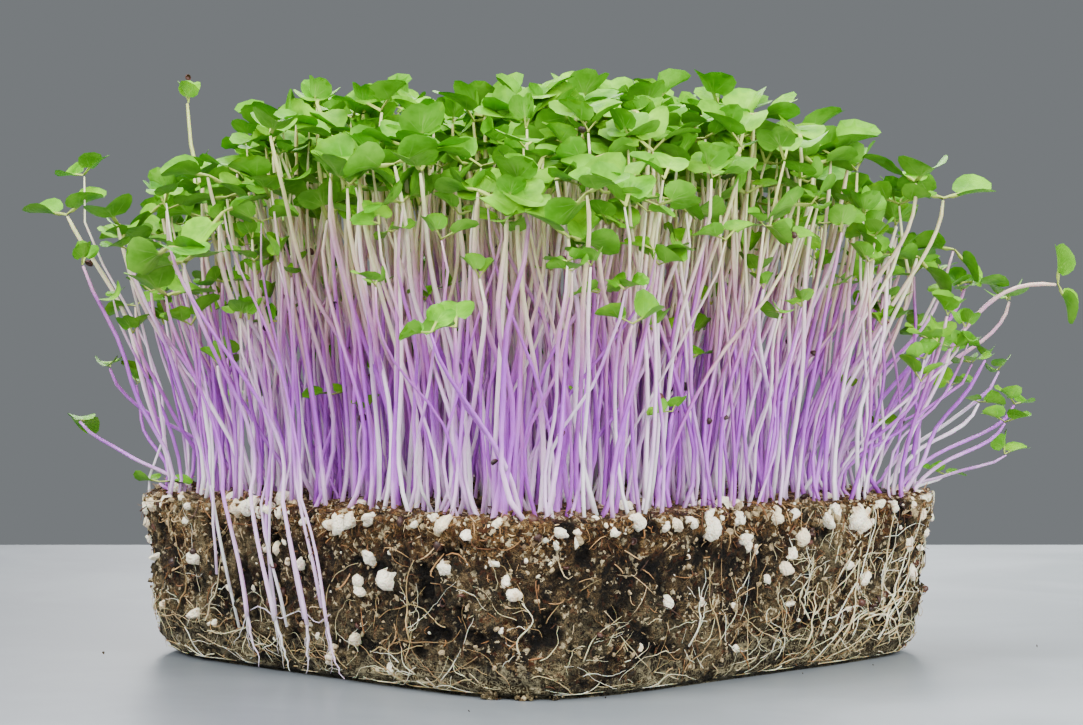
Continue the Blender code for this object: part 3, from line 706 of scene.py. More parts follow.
def closed_plates(top, under):
    """Thin closed plates from the grids of their upper and under faces, which share the rim. Returns
    the points, the quads, and for one plate the grid places of its faces' corners, upper ones first."""
    count, rows, columns = top.shape[:3]
    inner = np.zeros((rows, columns), bool)
    inner[1:-1, 1:-1] = True
    points = np.concatenate([top.reshape(count, -1, 3), under[:, inner]], 1)
    index = np.arange(rows * columns).reshape(rows, columns)
    index[inner] = rows * columns + np.arange(inner.sum())
    grid = grid_faces(rows, columns, False)
    each = np.concatenate([grid[:, ::-1], index.ravel()[grid]])
    quads = (each[None] + (np.arange(count) * points.shape[1])[:, None, None]).reshape(-1, 4)
    return points, quads, np.concatenate([grid[:, ::-1], grid])


# ---------------------------------------------------------------- the sprouts between the bunches


def bell(distance, width):
    """1 in the middle, falling off to both sides as exp(-(distance / width)^2)."""
    return np.exp(-((distance / width) ** 2))


def beside(points, others, gap):
    """True for each of the points that keeps that far from all the others."""
    return np.linalg.norm(points[:, None] - others[None], axis=2).min(1) > gap


def between(bunches):
    """Sprouts that stand between the bunches: first three that are drawn one by one, then those with their
    feet on a shaken grid, clear of the bunches' feet, and last the ones on the walls."""
    rng = np.random.default_rng(77)
    found = []
    for foot, hub, rise, size in DRAWN:
        sprout = draw_fine(rng, np.array(foot) * MM, np.array(hub) * MM)
        sprout.blades = [(b[0], rise, b[2], size) for b in sprout.blades]
        sprout.bend = np.array([0, 2 * MM])
        found.append(sprout)
    taken = np.array([s.feet[-1][:2] for b in bunches.values() for s in b])
    steps = np.arange(-15, 16) * FEET_PITCH
    feet = np.stack(np.meshgrid(steps, steps), -1).reshape(-1, 2)
    feet = feet + rng.uniform(-1.7, 1.7, feet.shape) * MM
    feet = feet[(np.abs(feet / (0.965 * TOP_HALF)) ** SQUARENESS).sum(1) < 1]
    for x, y in feet[beside(feet, taken, 1.7 * MM)]:
        hub = loose_hub(x, y, rng)
        found.append(draw_fine(rng, np.array([x, y, top_z(x, y) - 1.6 * MM]), hub))
    return found + up_the_wall(rng)


def loose_hub(x, y, rng):
    """Where the sprout with that foot holds its leaves: under the canopy's top and fanned out, highest in
    two swells across the block and lower at its ends, +X +Y, where some lean far out, and -X -Y. A few
    are short ones in the shade or just over the brim."""
    right, front = (x + y) / TOP_HALF / 1.4, (x - y) / TOP_HALF / 1.4
    at_right, at_left = right > 0.6, right < -0.66
    foot = np.array([x, y])
    fan, low = FAN - 0.02 + rng.normal(0, 0.03), abs(rng.normal(0, 8.5)) + rng.exponential(1.0)
    low += 1.4 - 1.4 * bell(right + 0.5, 0.3) - 2.4 * bell(right - 0.22, 0.2)
    low += 5.5 * max(0, right - 0.6) / 0.4
    if at_right and rng.random() < 0.34:
        fan, low = fan + rng.uniform(0.02, 0.16), low + rng.uniform(3, 26)
    if at_left:
        fan, low = fan - 0.05, low + rng.uniform(4, 26) * (rng.random() < 0.35)
    stray = 5.0 if rng.random() < 0.6 or right < -0.45 else 9.0
    tip = foot * (1 + fan) + rng.normal(0, stray, 2) * MM
    z = canopy_z(*tip) - low * MM
    chance, short = rng.random(), 0.13 if front > 0.45 else 0.07
    if chance < short:
        tip, z = foot * (1 + 0.35 * fan) + rng.normal(0, 5.0, 2) * MM, rng.uniform(45, 80) * MM
    elif max(abs(foot)) > 0.9 * TOP_HALF and chance > 0.985:
        tip, z = foot * 1.03 + rng.normal(0, 1.5, 2) * MM, rng.uniform(34, 39) * MM
    return np.array([*np.clip(tip, TIP_LOW, TIP_HIGH), min(z, HIGHEST_HUB)])


def draw_fine(rng, foot, hub):
    """A sprout with its two leaves open on opposite sides, one often higher than the other, and one
    sprout in six with both still folded up."""
    azimuth, size = rng.uniform(0, 2 * math.pi), rng.uniform(0.54, 0.86)
    rises = rng.uniform(0.15, 1.15, 2)
    if rng.random() < 0.16:
        rises, size = rng.uniform(1.0, 1.35, 2), size * 0.85
    turn = math.pi + rng.uniform(-0.7, 0.7)
    rolls = rng.normal(0, 0.45, 2)
    if hub[2] < 82 * MM:
        size *= 0.72
    blades = [(azimuth + k * turn, rises[k], rolls[k], size * rng.uniform(0.84, 1.12)) for k in (0, 1)]
    bend = rng.normal(0, 4.2 if rng.random() < 0.65 else 9.5, 2) * MM * min(1, (hub[2] - foot[2]) / (60 * MM))
    return Sprout([foot], hub, bend, blades)


def up_the_wall(rng):
    """More sprouts whose seeds fell between soil and tray: thin stems that climb the -Y wall, its -X
    corner and a few the -X wall, then bend up beside the others."""
    found = []
    for k in range(WALL_SPROUTS):
        on_front = k < ON_FRONT
        along = (rng.uniform(-29, 14) if on_front else rng.uniform(-50, 20)) * MM
        low = rng.uniform(6, 18) * MM
        feet = []
        for z, drift in ((low, 0.0), (0.5 * low + 15.5 * MM, 1.3), (SOIL_TOP + 1.5 * MM, 3.2)):
            place = along - drift * MM * (1 if k % 3 else -0.6)
            angle = math.atan2(-TOP_HALF, place) if on_front else math.atan2(place, -TOP_HALF)
            if k == WALL_SPROUTS - 1:  # the last one climbs the corner between the two walls
                angle = -2.345 + 0.004 * drift
            feet.append(wall_point(angle, min(z, SOIL_TOP), 1.0 * MM) + (0, 0, z - min(z, SOIL_TOP)))
        tip = feet[-1] * (1.12, 1.12, 1) + rng.normal(0, 3, 3) * MM
        tip[:2] = np.clip(tip[:2], -66 * MM, 66 * MM)
        tip[2] = rng.uniform(62, 96) * MM
        sprout = draw_fine(rng, feet[-1], tip)
        sprout.feet = feet
        found.append(sprout)
    return found


def stem_lines(sprouts, rings):
    """A smooth line of that many points for each stem, right up to the hub, with a slight wobble:
    the curve of its four control points, plus sines that die out at both ends."""
    rng = np.random.default_rng(len(sprouts) + rings)
    lines = []
    for s in sprouts:
        control = s.control()
        control[3] = s.hub - 0.25 * MM * hub_up(s.blades)
        line = curve(control, STEM_STEPS)
        if len(s.feet) == 1 and not s.arch:
            shift = s.stem_path()[0, :2] - line[0, :2]
            line[:, :2] += np.clip(shift, -1 * MM, 1 * MM) * np.linspace(1, 0, STEM_STEPS)[:, None] ** 3
        if len(s.feet) > 1:
            low, middle, brim = s.feet
            on_wall = curve([low, low * 0.5 + middle * 0.5, middle, brim], WALL_STEPS)
            line = np.vstack([on_wall[:-1], line])
        gone = np.concatenate([[0], np.cumsum(np.linalg.norm(np.diff(line, axis=0), axis=1))])
        t = np.linspace(0, 1, rings)
        line = np.stack([np.interp(t * gone[-1], gone, line[:, k]) for k in range(3)], 1)
        wave = rng.normal(0, 0.42, (3, 2)) * MM
        sway = sum(np.sin((k + 1.6) * math.pi * t + rng.uniform(0, 6))[:, None] * wave[k] for k in range(3))
        line[:, :2] += sway * (np.sin(math.pi * t) ** 0.7)[:, None]
        lines.append(line)
    return np.array(lines)


def stem_tubes(sprouts, rings, sides, tones, thick=1.0):
    """Points, faces and numbers of the stems: thickest just over the soil, thinner and thinner above it,
    and drawn in at the very end, between the two stalks."""
    lines = stem_lines(sprouts, rings)
    t = np.linspace(0, 1, rings)
    girth = 0.31 + 0.04 * bell(t - 0.04, 0.07) + 0.08 * (1 - t) - 0.1 * bell(t - 1, 0.03)
    rng = np.random.default_rng(9 + len(sprouts))
    each = rng.uniform(0.72, 1.26, len(sprouts)) * thick
    each = each * np.array([0.8 if len(s.feet) > 1 else 1.0 for s in sprouts])
    radii = each[:, None] * girth[None] * (1 + 0.06 * rng.standard_normal((len(sprouts), rings))) * MM
    points, faces, count = many_tubes(lines, radii, sides)
    return points, faces, {"tone": np.repeat(tones, count)}


def leaf_plates(sprouts, steps, columns, tones, wild, shrink=1.0):
    """Closed plates for all the seed leaves of those sprouts, from a grid in s along and t across. wild
    is how much they differ from one another, and shrink makes them smaller.

    Up to s = 0.2 the rows are the stalk's, 0.9 mm wide. From there each line of one t runs straight
    from the stalk's end to the leaf's outline. At angle w from the midrib, up to 106 degrees, that is
    0.55 + 7.6 cos(0.7 w)^0.9 out, less a quarter of it in the notch, a bell 13 degrees wide. The plate
    is cupped with its width squared, droops with its length squared, and its edge waves.
    """
    blades = [b for s in sprouts for b in s.blades]
    hubs = np.repeat(np.array([s.hub for s in sprouts]), 2, axis=0)
    d, across, n = np.stack([blade_frame(*b[:3]) for b in blades], 1)
    size = np.array([b[3] for b in blades]) * shrink
    rng = np.random.default_rng(5 + len(sprouts))
    count = len(blades)
    s = np.array(steps)[:, None]
    knots = (*(-k for k in LEAF_KNOTS[::-1]), 0, *LEAF_KNOTS)
    last = len(knots) - 1
    turn = np.interp(np.linspace(0, last, columns), range(last + 1), knots)[None]
    t, a = turn / LEAF_KNOTS[-1], np.abs(turn) / LEAF_KNOTS[-1]
    stalk_long = 2.6 + wild * rng.uniform(0, 1.8, (count, 1, 1))
    notch = 0.25 + wild * rng.uniform(-0.1, 0.1, (count, 1, 1))
    out = 0.55 + 7.6 * np.cos(np.radians(turn) * 0.702) ** 0.9 * (1 - notch * bell(turn, 13))
    out_u, out_v = stalk_long + out * np.cos(np.radians(turn)), out * np.sin(np.radians(turn))
    k = np.clip((s - STALK_END) / (1 - STALK_END), 0, 1) ** 0.9
    u = np.where(s < STALK_END, stalk_long * s / STALK_END, stalk_long * (1 - k) + out_u * k)
    v = 0.45 * t * (1 - k) + out_v * k
    skew = rng.normal(0, 0.8 * wild, (count, 1, 1))
    cup = 1.5 + wild * rng.normal(0.7, 1.2, (count, 1, 1))
    droop = 1.0 + wild * (0.6 + np.abs(rng.normal(0, 2.3, (count, 1, 1))))
    ripple = rng.uniform(0, 2 * math.pi, (count, 1, 1))
    edge = (0.3 + 0.15 * wild) * k**3
    lift = cup * (v / 5) ** 2 - droop * (u / 9.9) ** 2
    lift = lift + edge * np.sin(4 * t + ripple) + 0.3 * edge * np.sin(9 * t + 2 * ripple)
    lift = lift - 0.25 * bell(v, 0.9) * k
    v = v * (1 - 0.06 * wild * np.abs(cup)) + skew * (u / 9.9) ** 2
    stalk = np.exp(-((s / 0.26) ** 4))
    body = np.sqrt(np.clip(1 - a**4, 0, 1)) * np.sqrt(np.clip(1 - s**14, 0, 1))
    half = body * (0.07 + 0.3 * stalk)
    rib = body * 0.17 * bell(v, 0.45) * (1 - 0.8 * s)
    scale = (size * MM)[:, None, None, None]

    def placed(height):
        """Points at that height over each leaf's plane, turned, sized and set on its hub."""
        local = np.stack(np.broadcast_arrays(u, v, height), -1) * scale
        return hubs[:, None, None] + np.einsum("nijk,nkl->nijl", local, np.stack([d, across, n], 1))

    points, quads, corners = closed_plates(placed(lift + half), placed(lift - half - rib))
    uv = np.stack(np.broadcast_arrays(s, (t + 1) / 2), -1).reshape(-1, 2)[corners]
    uv[len(uv) // 2 :, :, 0] += 1
    each = points.shape[1]
    numbers = {"tone": np.repeat(np.repeat(tones, 2), each), "hue": np.repeat(rng.random(count), each)}
    return points.reshape(-1, 3), [quads], [np.tile(uv, (count, 1, 1))], numbers


def knot_shape(centre, turn, half):
    """The knot of roots in a slot: an oval tube along it, its radius falling off at both ends."""
    t = np.linspace(-1, 1, 7)[None, :, None]
    middle = np.array([*centre, SOIL_TOP - SLOT_RECESS - SLOT_DEEP / 2])
    path = middle + t * (half - GAP) * np.array([math.cos(turn), math.sin(turn), 0.0])
    radii = (SLOT_WIDE / 2 - GAP) * np.sqrt(1 - 0.75 * t[..., 0] ** 8)
    squash = SLOT_DEEP / 2 / (SLOT_WIDE / 2 - GAP)
    points, faces, count = many_tubes(path, radii, 10, squash, start=(0, 0, 1))
    return points, faces, {"tone": np.full(count, 0.5)}


def runner_shape(sprouts):
    """The roots that go on down from the feet of the sprouts on the wall, and the thin one that strings
    them together."""
    rng = np.random.default_rng(33)
    feet = np.array(sorted((s.feet[0] for s in sprouts), key=lambda p: p[0]))
    t = np.linspace(0, 1, RUNNER_POINTS)
    string = np.stack([np.interp(t, np.linspace(0, 1, len(feet)), feet[:, k]) for k in range(3)], 1)
    string += np.stack([0 * t, 0.75 * MM + 0 * t, (1.2 + 0.9 * np.sin(14 * t)) * MM], 1)
    paths, radii = [string], [np.full(RUNNER_POINTS, 0.1 * MM)]
    for foot in feet:
        for k in range(4):
            wander = np.cumsum(rng.normal(0, 0.55, RUNNER_POINTS)) * MM
            fall = rng.uniform(3, 9.3) if k else 9.0
            sideways = rng.normal(0, 2.0) * MM * t + wander * t
            path = foot + np.stack([sideways, 0.7 * MM * t, (0.8 - (fall + 0.8) * t) * MM], 1)
            path[:, 2] = np.maximum(path[:, 2], 0.4 * MM)
            paths.append(path)
            radii.append((0.3 if k == 0 else 0.13) * (1 - 0.8 * t) * MM)
    points, faces, count = many_tubes(paths, radii, 6)
    return points, faces, {"tone": np.full(count * len(paths), 0.9)}


def joined(parts):
    """Several lots of points, faces and numbers as one."""
    starts = np.cumsum([0] + [len(p[0]) for p in parts])
    points = np.concatenate([p[0] for p in parts])
    kinds = range(len(parts[0][1]))
    faces = [np.concatenate([p[1][k] + start for p, start in zip(parts, starts)]) for k in kinds]
    return points, faces, {key: np.concatenate([p[2][key] for p in parts]) for key in parts[0][2]}


def make_sprouts(bunches, stem_skin, leaf_skin):
    """Fine stems and leaves for every bunch of the solids, then for the sprouts between them."""
    rng = np.random.default_rng(15)
    places = dict(zip([*range(1, GRID * GRID + 1), *LONE], all_slots()))

    def make_pair(name, stalks, blades, *in_solids):
        """The pieces of one lot, and the solids' nodes of those names that they stand for."""
        points, faces, values = stalks
        stems = surface(f"stalks_{name}", points, faces, values=values)
        finish_piece(stems, stem_skin, "stems", *(f"stems_{n}" for n in in_solids))
        leaves = surface(f"blades_{name}", *blades, crisp=CREASE)
        finish_piece(leaves, leaf_skin, "leaves", *(f"leaves_{n}" for n in in_solids))

    for number, sprouts in bunches.items():
        name = "on_wall" if number == 0 else number if number in LONE else f"{number:02d}"
        tones = rng.random(len(sprouts))
        base = knot_shape(*places[number]) if number else runner_shape(sprouts)
        stalks = joined([stem_tubes(sprouts, *BUNCH_STEM, tones, 1.05), base])
        make_pair(name, stalks, leaf_plates(sprouts, *BUNCH_LEAF, tones, 0.45, 0.84), name)
    loose = between(bunches)
    for k in range(LOTS):
        sprouts = loose[k::LOTS]
        tones = rng.random(len(sprouts))
        stalks = stem_tubes(sprouts, *LOOSE_STEM, tones)
        make_pair(f"between_{k + 1}", stalks, leaf_plates(sprouts, *LOOSE_LEAF, tones, 1.0))
    return loose


# ---------------------------------------------------------------- soil


def square_radius(angle):
    """Radius of the block's superellipse of half width 1 at each angle."""
    return (np.abs(np.cos(angle)) ** SQUARENESS + np.abs(np.sin(angle)) ** SQUARENESS) ** (-1 / SQUARENESS)


def soil_base(angle, q):
    """The soil's smooth form and the way it faces: its wall is the solids' one, or stands just behind the
    felt where that is further out. q from 0 to 1 climbs the wall, from 1 to 1.1 turns over the brim on a
    quarter circle, and from 1.1 to 2 runs to the middle of the top."""
    r = square_radius(angle)
    ray = np.stack([np.cos(angle), np.sin(angle)], -1)
    wall_z = FOOT_Z + q * (SOIL_TOP / MM - BRIM - FOOT_Z)
    behind_felt = np.interp(wall_z, *zip(*MAT_OUTSIDE)) - 0.75 - 3 * (wall_z > 12.9)
    wall_half = np.maximum(np.interp(wall_z, *zip(*SOIL_WALL)), behind_felt)
    turn = np.clip((q - 1) / 0.1, 0, 1) * math.pi / 2
    reach = np.clip((2 - q) / 0.9, 0, 1)
    edge = TOP_HALF / MM - 0.2 - BRIM
    half = np.where(q < 1, wall_half, np.where(q < 1.1, edge + BRIM * np.cos(turn), edge * reach))
    xy = ray * (half * r)[..., None] * MM
    top = top_z(xy[..., 0], xy[..., 1])
    over = np.where(q < 1.1, BRIM * (1 - np.sin(turn)), 0) * MM
    z = np.where(q < 1, (wall_z - SOIL_TOP / MM) * MM + SOIL_TOP, 0) + np.where(q >= 1, top - over, 0)
    z = z + np.where(q < 1, (top - SOIL_TOP) * np.clip(q, 0, 1) ** 4, 0)
    outward = np.sign(ray) * np.abs(ray) ** (SQUARENESS - 1)
    outward /= np.linalg.norm(outward, axis=-1, keepdims=True)
    tilt = np.where(q < 1, 0, turn)[..., None]
    facing = np.concatenate([outward * np.cos(tilt), np.sin(tilt)], -1)
    return np.concatenate([xy, z[..., None]], -1), facing


def soil_relief(points):
    """How far the soil stands out at each point, in millimetres, and the number of its clod: broad
    swells, clods of 3.1 and 1.3 mm rounded by their distance to the middle, and pits between them."""
    near, own = clods(points, 3.1 * MM, 3)
    fine, own_fine = clods(points, 1.3 * MM, 8)
    pits = np.clip(-soft_noise(points, 3.6 * MM, 14) - 0.24, 0, 1)
    rise = 0.5 * soft_noise(points, 11 * MM, 1) + 0.9 * (0.6 - near) * (0.4 + own)
    rise += 0.95 * (0.5 - fine) * (0.35 + own_fine) + 0.4 * soft_noise(points, 0.9 * MM, 5) - 2.7 * pits
    return rise, 0.4 * own + 0.6 * own_fine


def soil_skin(angle, q, out=0.0):
    """Points on the rough soil, or out from it by that many millimetres."""
    base, facing = soil_base(angle, q)
    rise, own = soil_relief(base)
    rise = rise * np.clip((2 - q) / 0.04, 0.0, 1)
    return base + facing * ((rise + out) * MM)[..., None], rise, own


def make_soil(skin):
    """The block of soil: rings from the foot over the brim to the middle of the top, with one point
    to close the top and one to close the underside."""
    angle = 2 * math.pi * np.arange(SOIL_AROUND) / SOIL_AROUND
    wall, brim, top = np.linspace(0, 1, 48), np.linspace(1, 1.1, 6), 1.1 + 0.9 * np.linspace(0, 1, 30) ** 1.2
    grid_angle, grid_q = np.meshgrid(angle, np.concatenate([wall[:-1], brim[:-1], top[:-1]]))
    points, rise, own = soil_skin(grid_angle, grid_q)
    ends = [[0, 0, FOOT_Z * MM], [0, 0, points[-1, :, 2].mean()]]
    piece = ringed("potting_soil", points, ends, {"rise": (rise, 0), "own": (own, 0.5)})
    finish_piece(piece, skin, "soil", "soil_block")


def ball(rounds):
    """Corners and faces of a unit icosahedron, each face split in four that many times."""
    points, faces = ICO_CORNERS / ICO_R, ICO_FACES
    for _ in range(rounds):
        sides = np.sort(faces[:, [[0, 1], [1, 2], [2, 0]]].reshape(-1, 2), axis=1)
        pairs, where = np.unique(sides, axis=0, return_inverse=True)
        middle = points[pairs].mean(1)
        middle /= np.linalg.norm(middle, axis=1, keepdims=True)
        a, b, c = (where.reshape(-1, 3) + len(points)).T
        p, q, r = faces.T
        points = np.vstack([points, middle])
        faces = np.concatenate([np.stack(f, -1) for f in ((p, a, c), (a, q, b), (c, b, r), (a, b, c))])
    return points, faces


def turns(count, rng):
    """Turns any way, one 3 x 3 matrix each, from unit quaternions."""
    w, x, y, z = (v := rng.standard_normal((4, count))) / np.linalg.norm(v, axis=0)
    rows = [[1 - 2 * (y * y + z * z), 2 * (x * y - z * w), 2 * (x * z + y * w)]]
    rows += [[2 * (x * y + z * w), 1 - 2 * (x * x + z * z), 2 * (y * z - x * w)]]
    rows += [[2 * (x * z - y * w), 2 * (y * z + x * w), 1 - 2 * (x * x + y * y)]]
    return np.array(rows).transpose(2, 0, 1)


def strew(name, skin, shape, centres, sizes, uneven, rng, lowest=0.02 * MM, shade=1.0):
    """A piece of many copies of one small closed shape, each with its own size, turn and lumps: every
    corner is pushed in or out along its ray, by smooth noise of two sizes and by a small random share.
    No point lies lower than the lowest, and shade dims each copy's tone."""
    points, faces = shape
    count = len(centres)
    turned = turns(count, rng)
    own_place = points * 0.9 + rng.uniform(0, 90, (count, 1, 3))
    lumps = 1.4 * soft_noise(own_place, 0.8, 71) + 0.9 * soft_noise(own_place, 0.34, 72)
    dents = 1 + uneven * (lumps[..., None] + 0.25 * rng.uniform(-1, 1, (count, len(points), 1)))
    local = points * dents * sizes[:, None]
    placed = np.einsum("nij,nkj->nki", turned, local) + centres[:, None]
    placed[..., 2] = np.maximum(placed[..., 2], lowest)
    all_faces = (faces + (np.arange(count) * len(points))[:, None, None]).reshape(-1, 3)
    tone = np.repeat(rng.random(count) * shade, len(points))
    finish_piece(surface(name, placed.reshape(-1, 3), [all_faces], values={"tone": tone}), skin, "soil")


def husk_shape():
    """Half of a split seed coat: a bowl with a wall, turned from the outer pole over the rim to the
    inner pole, of radius sin(a) and depth cos(a)."""
    a = np.concatenate([np.linspace(0.0, 1.75, 5), np.linspace(1.65, 0.0, 4)])
    r = np.concatenate([np.ones(5), np.full(4, 0.86)])
    sides = 8
    ring = 2 * math.pi * np.arange(sides) / sides
    radius, depth = (r * np.sin(a))[1:-1, None], -r * np.cos(a)
    rings = np.stack(np.broadcast_arrays(radius * np.cos(ring), radius * np.sin(ring), depth[1:-1, None]), -1)
    points = np.vstack([rings.reshape(-1, 3), [[0, 0, depth[0]], [0, 0, depth[-1]]]])
    quads = grid_faces(len(rings), sides, True)
    return points, np.concatenate([quads[:, [0, 1, 2]], quads[:, [0, 2, 3]], end_caps(len(rings), sides)])


def on_soil(count, rng, low=0.3, share_top=0.25):
    """Angles and q of places strewn over the wall and the outer part of the top."""
    angle = rng.uniform(0, 2 * math.pi, count)
    wall = rng.uniform(low, 1.02, count)
    top = 2 - 0.9 * np.sqrt(rng.uniform(0.0, 1, count))
    return angle, np.where(rng.random(count) < share_top, top, wall)


def lay_crumbs(rng, skin):
    """Crumbs: over all the soil, with larger ones along the brim, and duller ones that lie round the foot
    and in clumps by the corner +X -Y."""
    angle, q = on_soil(CRUMBS, rng, 0.05, 0.25)
    by_brim = rng.random(CRUMBS) < 0.3
    q = np.where(by_brim, rng.uniform(0.88, 1.2, CRUMBS), q)
    on_wall, _, _ = soil_skin(angle, q, 0.05)
    sizes = rng.uniform(0.16, 0.5, (CRUMBS, 1)) * rng.uniform(0.5, 1.8, (CRUMBS, 3))
    sizes = sizes * (1 + 0.5 * by_brim[:, None]) * MM
    by_foot = rng.uniform(-1, 1, (CRUMBS_BY_FOOT, 2)) * 72 * MM
    by_foot = by_foot[(np.abs(by_foot) ** 6).sum(1) ** (1 / 6) > 57 * MM]
    clumps = []
    for a, r, stray, count in CRUMB_CLUMPS:
        clumps.append(np.array([math.cos(a), math.sin(a)]) * r * MM + rng.normal(0, stray, (count, 2)) * MM)
    lying = np.vstack([by_foot, *clumps])
    count = len(lying)
    lying = np.column_stack([lying, np.abs(rng.normal(0.2, 0.4, count)) * MM])
    small = (0.14 + 0.8 * rng.random((count, 1)) ** 2.2) * MM * rng.uniform(0.5, 1.5, (count, 3))
    centres, sizes = np.vstack([on_wall, lying]), np.vstack([sizes, small])
    shade = np.repeat([1.0, 0.6], [CRUMBS, count])
    strew("soil_crumbs", skin, ball(0), centres, sizes, 0.4, rng, shade=shade)


def lay_perlite(rng, known, skin):
    """The solids' own grains of perlite with their dents, many small ones strewn mostly by the brim, some
    of them in threes, and a few large ones."""
    middles = np.array([p.mean(0) for p in known])
    radii = np.array([np.linalg.norm(p - p.mean(0), axis=1).mean() for p in known])[:, None] * 0.9
    angle, q = on_soil(PERLITE, rng, 0.1, 0.2)
    brim, threes = slice(PERLITE_BY_BRIM), slice(PERLITE_BY_BRIM, PERLITE_BY_BRIM + 3 * PERLITE_CLUMPS)
    leaders = slice(PERLITE_BY_BRIM, PERLITE_BY_BRIM + PERLITE_CLUMPS)
    q[brim] = 0.97 + np.abs(rng.normal(0, 0.09, PERLITE_BY_BRIM))
    q[:PERLITE_ON_EDGE] = rng.uniform(0.95, 1.06, PERLITE_ON_EDGE)
    angle[threes] = np.repeat(angle[leaders], 3) + rng.normal(0, 0.035, 3 * PERLITE_CLUMPS)
    q[threes] = np.repeat(q[leaders], 3) + rng.normal(0, 0.05, 3 * PERLITE_CLUMPS)
    more, _, _ = soil_skin(angle, np.clip(q, 0.06, 1.95), -0.15)
    small = 0.2 + 1.35 * rng.random((PERLITE, 1)) ** 2.8
    small[brim] = 0.25 + 1.6 * rng.random((PERLITE_BY_BRIM, 1)) ** 2.6
    small[:PERLITE_LARGE] = rng.uniform(0.9, 1.9, (PERLITE_LARGE, 1))
    centres = np.vstack([middles, more])
    sizes = np.vstack([radii, small * MM]) * rng.uniform(0.6, 1.3, (len(centres), 3))
    big = sizes.mean(1) > PERLITE_FINE
    for name, chosen, rounds in (("perlite_grains", big, 2), ("perlite_dust", ~big, 1)):
        strew(name, skin, ball(rounds), centres[chosen], sizes[chosen], 0.24, rng, 0.05 * MM)


def lay_husks(rng, loose, skin):
    """Split seed coats: on the soil, over the two tall sprouts, and stuck to some leaves and stems."""
    angle, q = on_soil(HUSKS, rng, 0.3, 0.4)
    places, _, _ = soil_skin(angle, q, 0.3)
    hats = [s.hub + (0, 0, 4.9 * MM) for s in loose[:2]]
    for s in loose[3::40]:
        hats.append(s.hub + 0.4 * MM * hub_up(s.blades) + rng.normal(0, 1.2, 3) * MM * (1, 1, 0))
    tips = [s.stem_path()[2] + rng.normal(0, 0.3, 3) * MM for s in loose[7::24]]
    feet = [s.stem_path()[1] + rng.normal(0, 0.3, 3) * MM for s in loose[11::30]]
    centres = np.vstack([places, *hats, *tips, *feet])
    sizes = rng.uniform(0.65, 1.0, (len(centres), 1)) * np.array([1.0, 0.85, 0.75]) * MM
    strew("seed_husks", skin, husk_shape(), centres, sizes, 0.06, rng)


def lay_seeds(rng, skin):
    """Whole seeds that didn't sprout, half sunk in the soil by the brim and low on the walls."""
    seen_angle, seen_q = zip(*SEEDS_IN_VIEW)
    angle = np.concatenate([rng.uniform(0, 2 * math.pi, SEEDS), seen_angle])
    q = np.concatenate([rng.uniform(0.8, 1.35, SEEDS), seen_q])
    centres, _, _ = soil_skin(angle, q, -0.3)
    count = len(centres)
    sizes = rng.uniform(0.8, 1.15, (count, 1)) * rng.uniform(0.9, 1.1, (count, 3)) * MM
    strew("whole_seeds", skin, ball(1), centres, sizes, 0.05, rng)


def lay_wood(rng, skin):
    """Wood and peat fibres that lie in the soil's face: bowed three-sided tubes, thinner at both ends."""
    count = WOOD_FIBRES
    angle, q = on_soil(count, rng, 0.03, 0.2)
    q = np.where(rng.random(count) < 0.42, rng.uniform(0.88, 1.1, count), q)
    start, _, _ = soil_skin(angle, q, 0.2)
    _, facing = soil_base(angle, q)
    way = np.cross(facing, rng.standard_normal((count, 3)))
    way /= np.linalg.norm(way, axis=1, keepdims=True)
    t = np.linspace(-1, 1, 5)[None, :, None]
    long = (0.5 + 2.9 * rng.random((count, 1, 1)) ** 2) * MM
    bow = rng.normal(0, 0.35, (count, 1, 3)) * long
    tilted = way + 0.25 * facing * rng.normal(0, 1, (count, 1))
    path = start[:, None] + t * long * tilted[:, None] + bow * (1 - t**2)
    radii = (0.06 + 0.14 * rng.random((count, 1)) ** 2) * (1 - 0.5 * t[..., 0] ** 4) * MM
    path[..., 2] = np.maximum(path[..., 2], radii + 0.05 * MM)
    points, faces, each = many_tubes(path, radii, 3, squash=0.7)
    tone = np.repeat(rng.random(count), each)
    finish_piece(surface("wood_fibres", points, faces, values={"tone": tone}), skin, "soil")


def make_soil_bits(strands, bunches, loose, crumb_skin, perlite_skin, husk_skin, wood_skin):
    """Crumbs, perlite, seed coats, seeds and wood fibres, sunk in the soil or lying loose."""
    rng = np.random.default_rng(63)
    lay_crumbs(rng, crumb_skin)
    lay_perlite(rng, perlite(strands, bunches), perlite_skin)
    lay_husks(rng, loose, husk_skin)
    lay_seeds(rng, husk_skin)
    lay_wood(rng, wood_skin)


# ---------------------------------------------------------------- roots


def lip_line(angle):
    """Height of the felt's ragged lip: the solids' waves, with finer ones on them, low at two corners."""
    wave = 0.5 + 0.28 * np.sin(5 * angle + 0.7) + 0.22 * np.sin(11 * angle)
    fine = 0.9 * np.sin(23 * angle + 1.0) * np.sin(9 * angle)
    fine = fine + 0.5 * np.sin(61 * angle) + 0.35 * np.sin(117 * angle + 2)
    gaps = 4.2 * np.clip(0.2 - 0.8 * np.sin(2 * angle) + 0.5 * np.sin(17 * angle), 0, 1)
    return MAT_LIP[0] / MM + (MAT_LIP[1] - MAT_LIP[0]) / MM * wave + fine - gaps


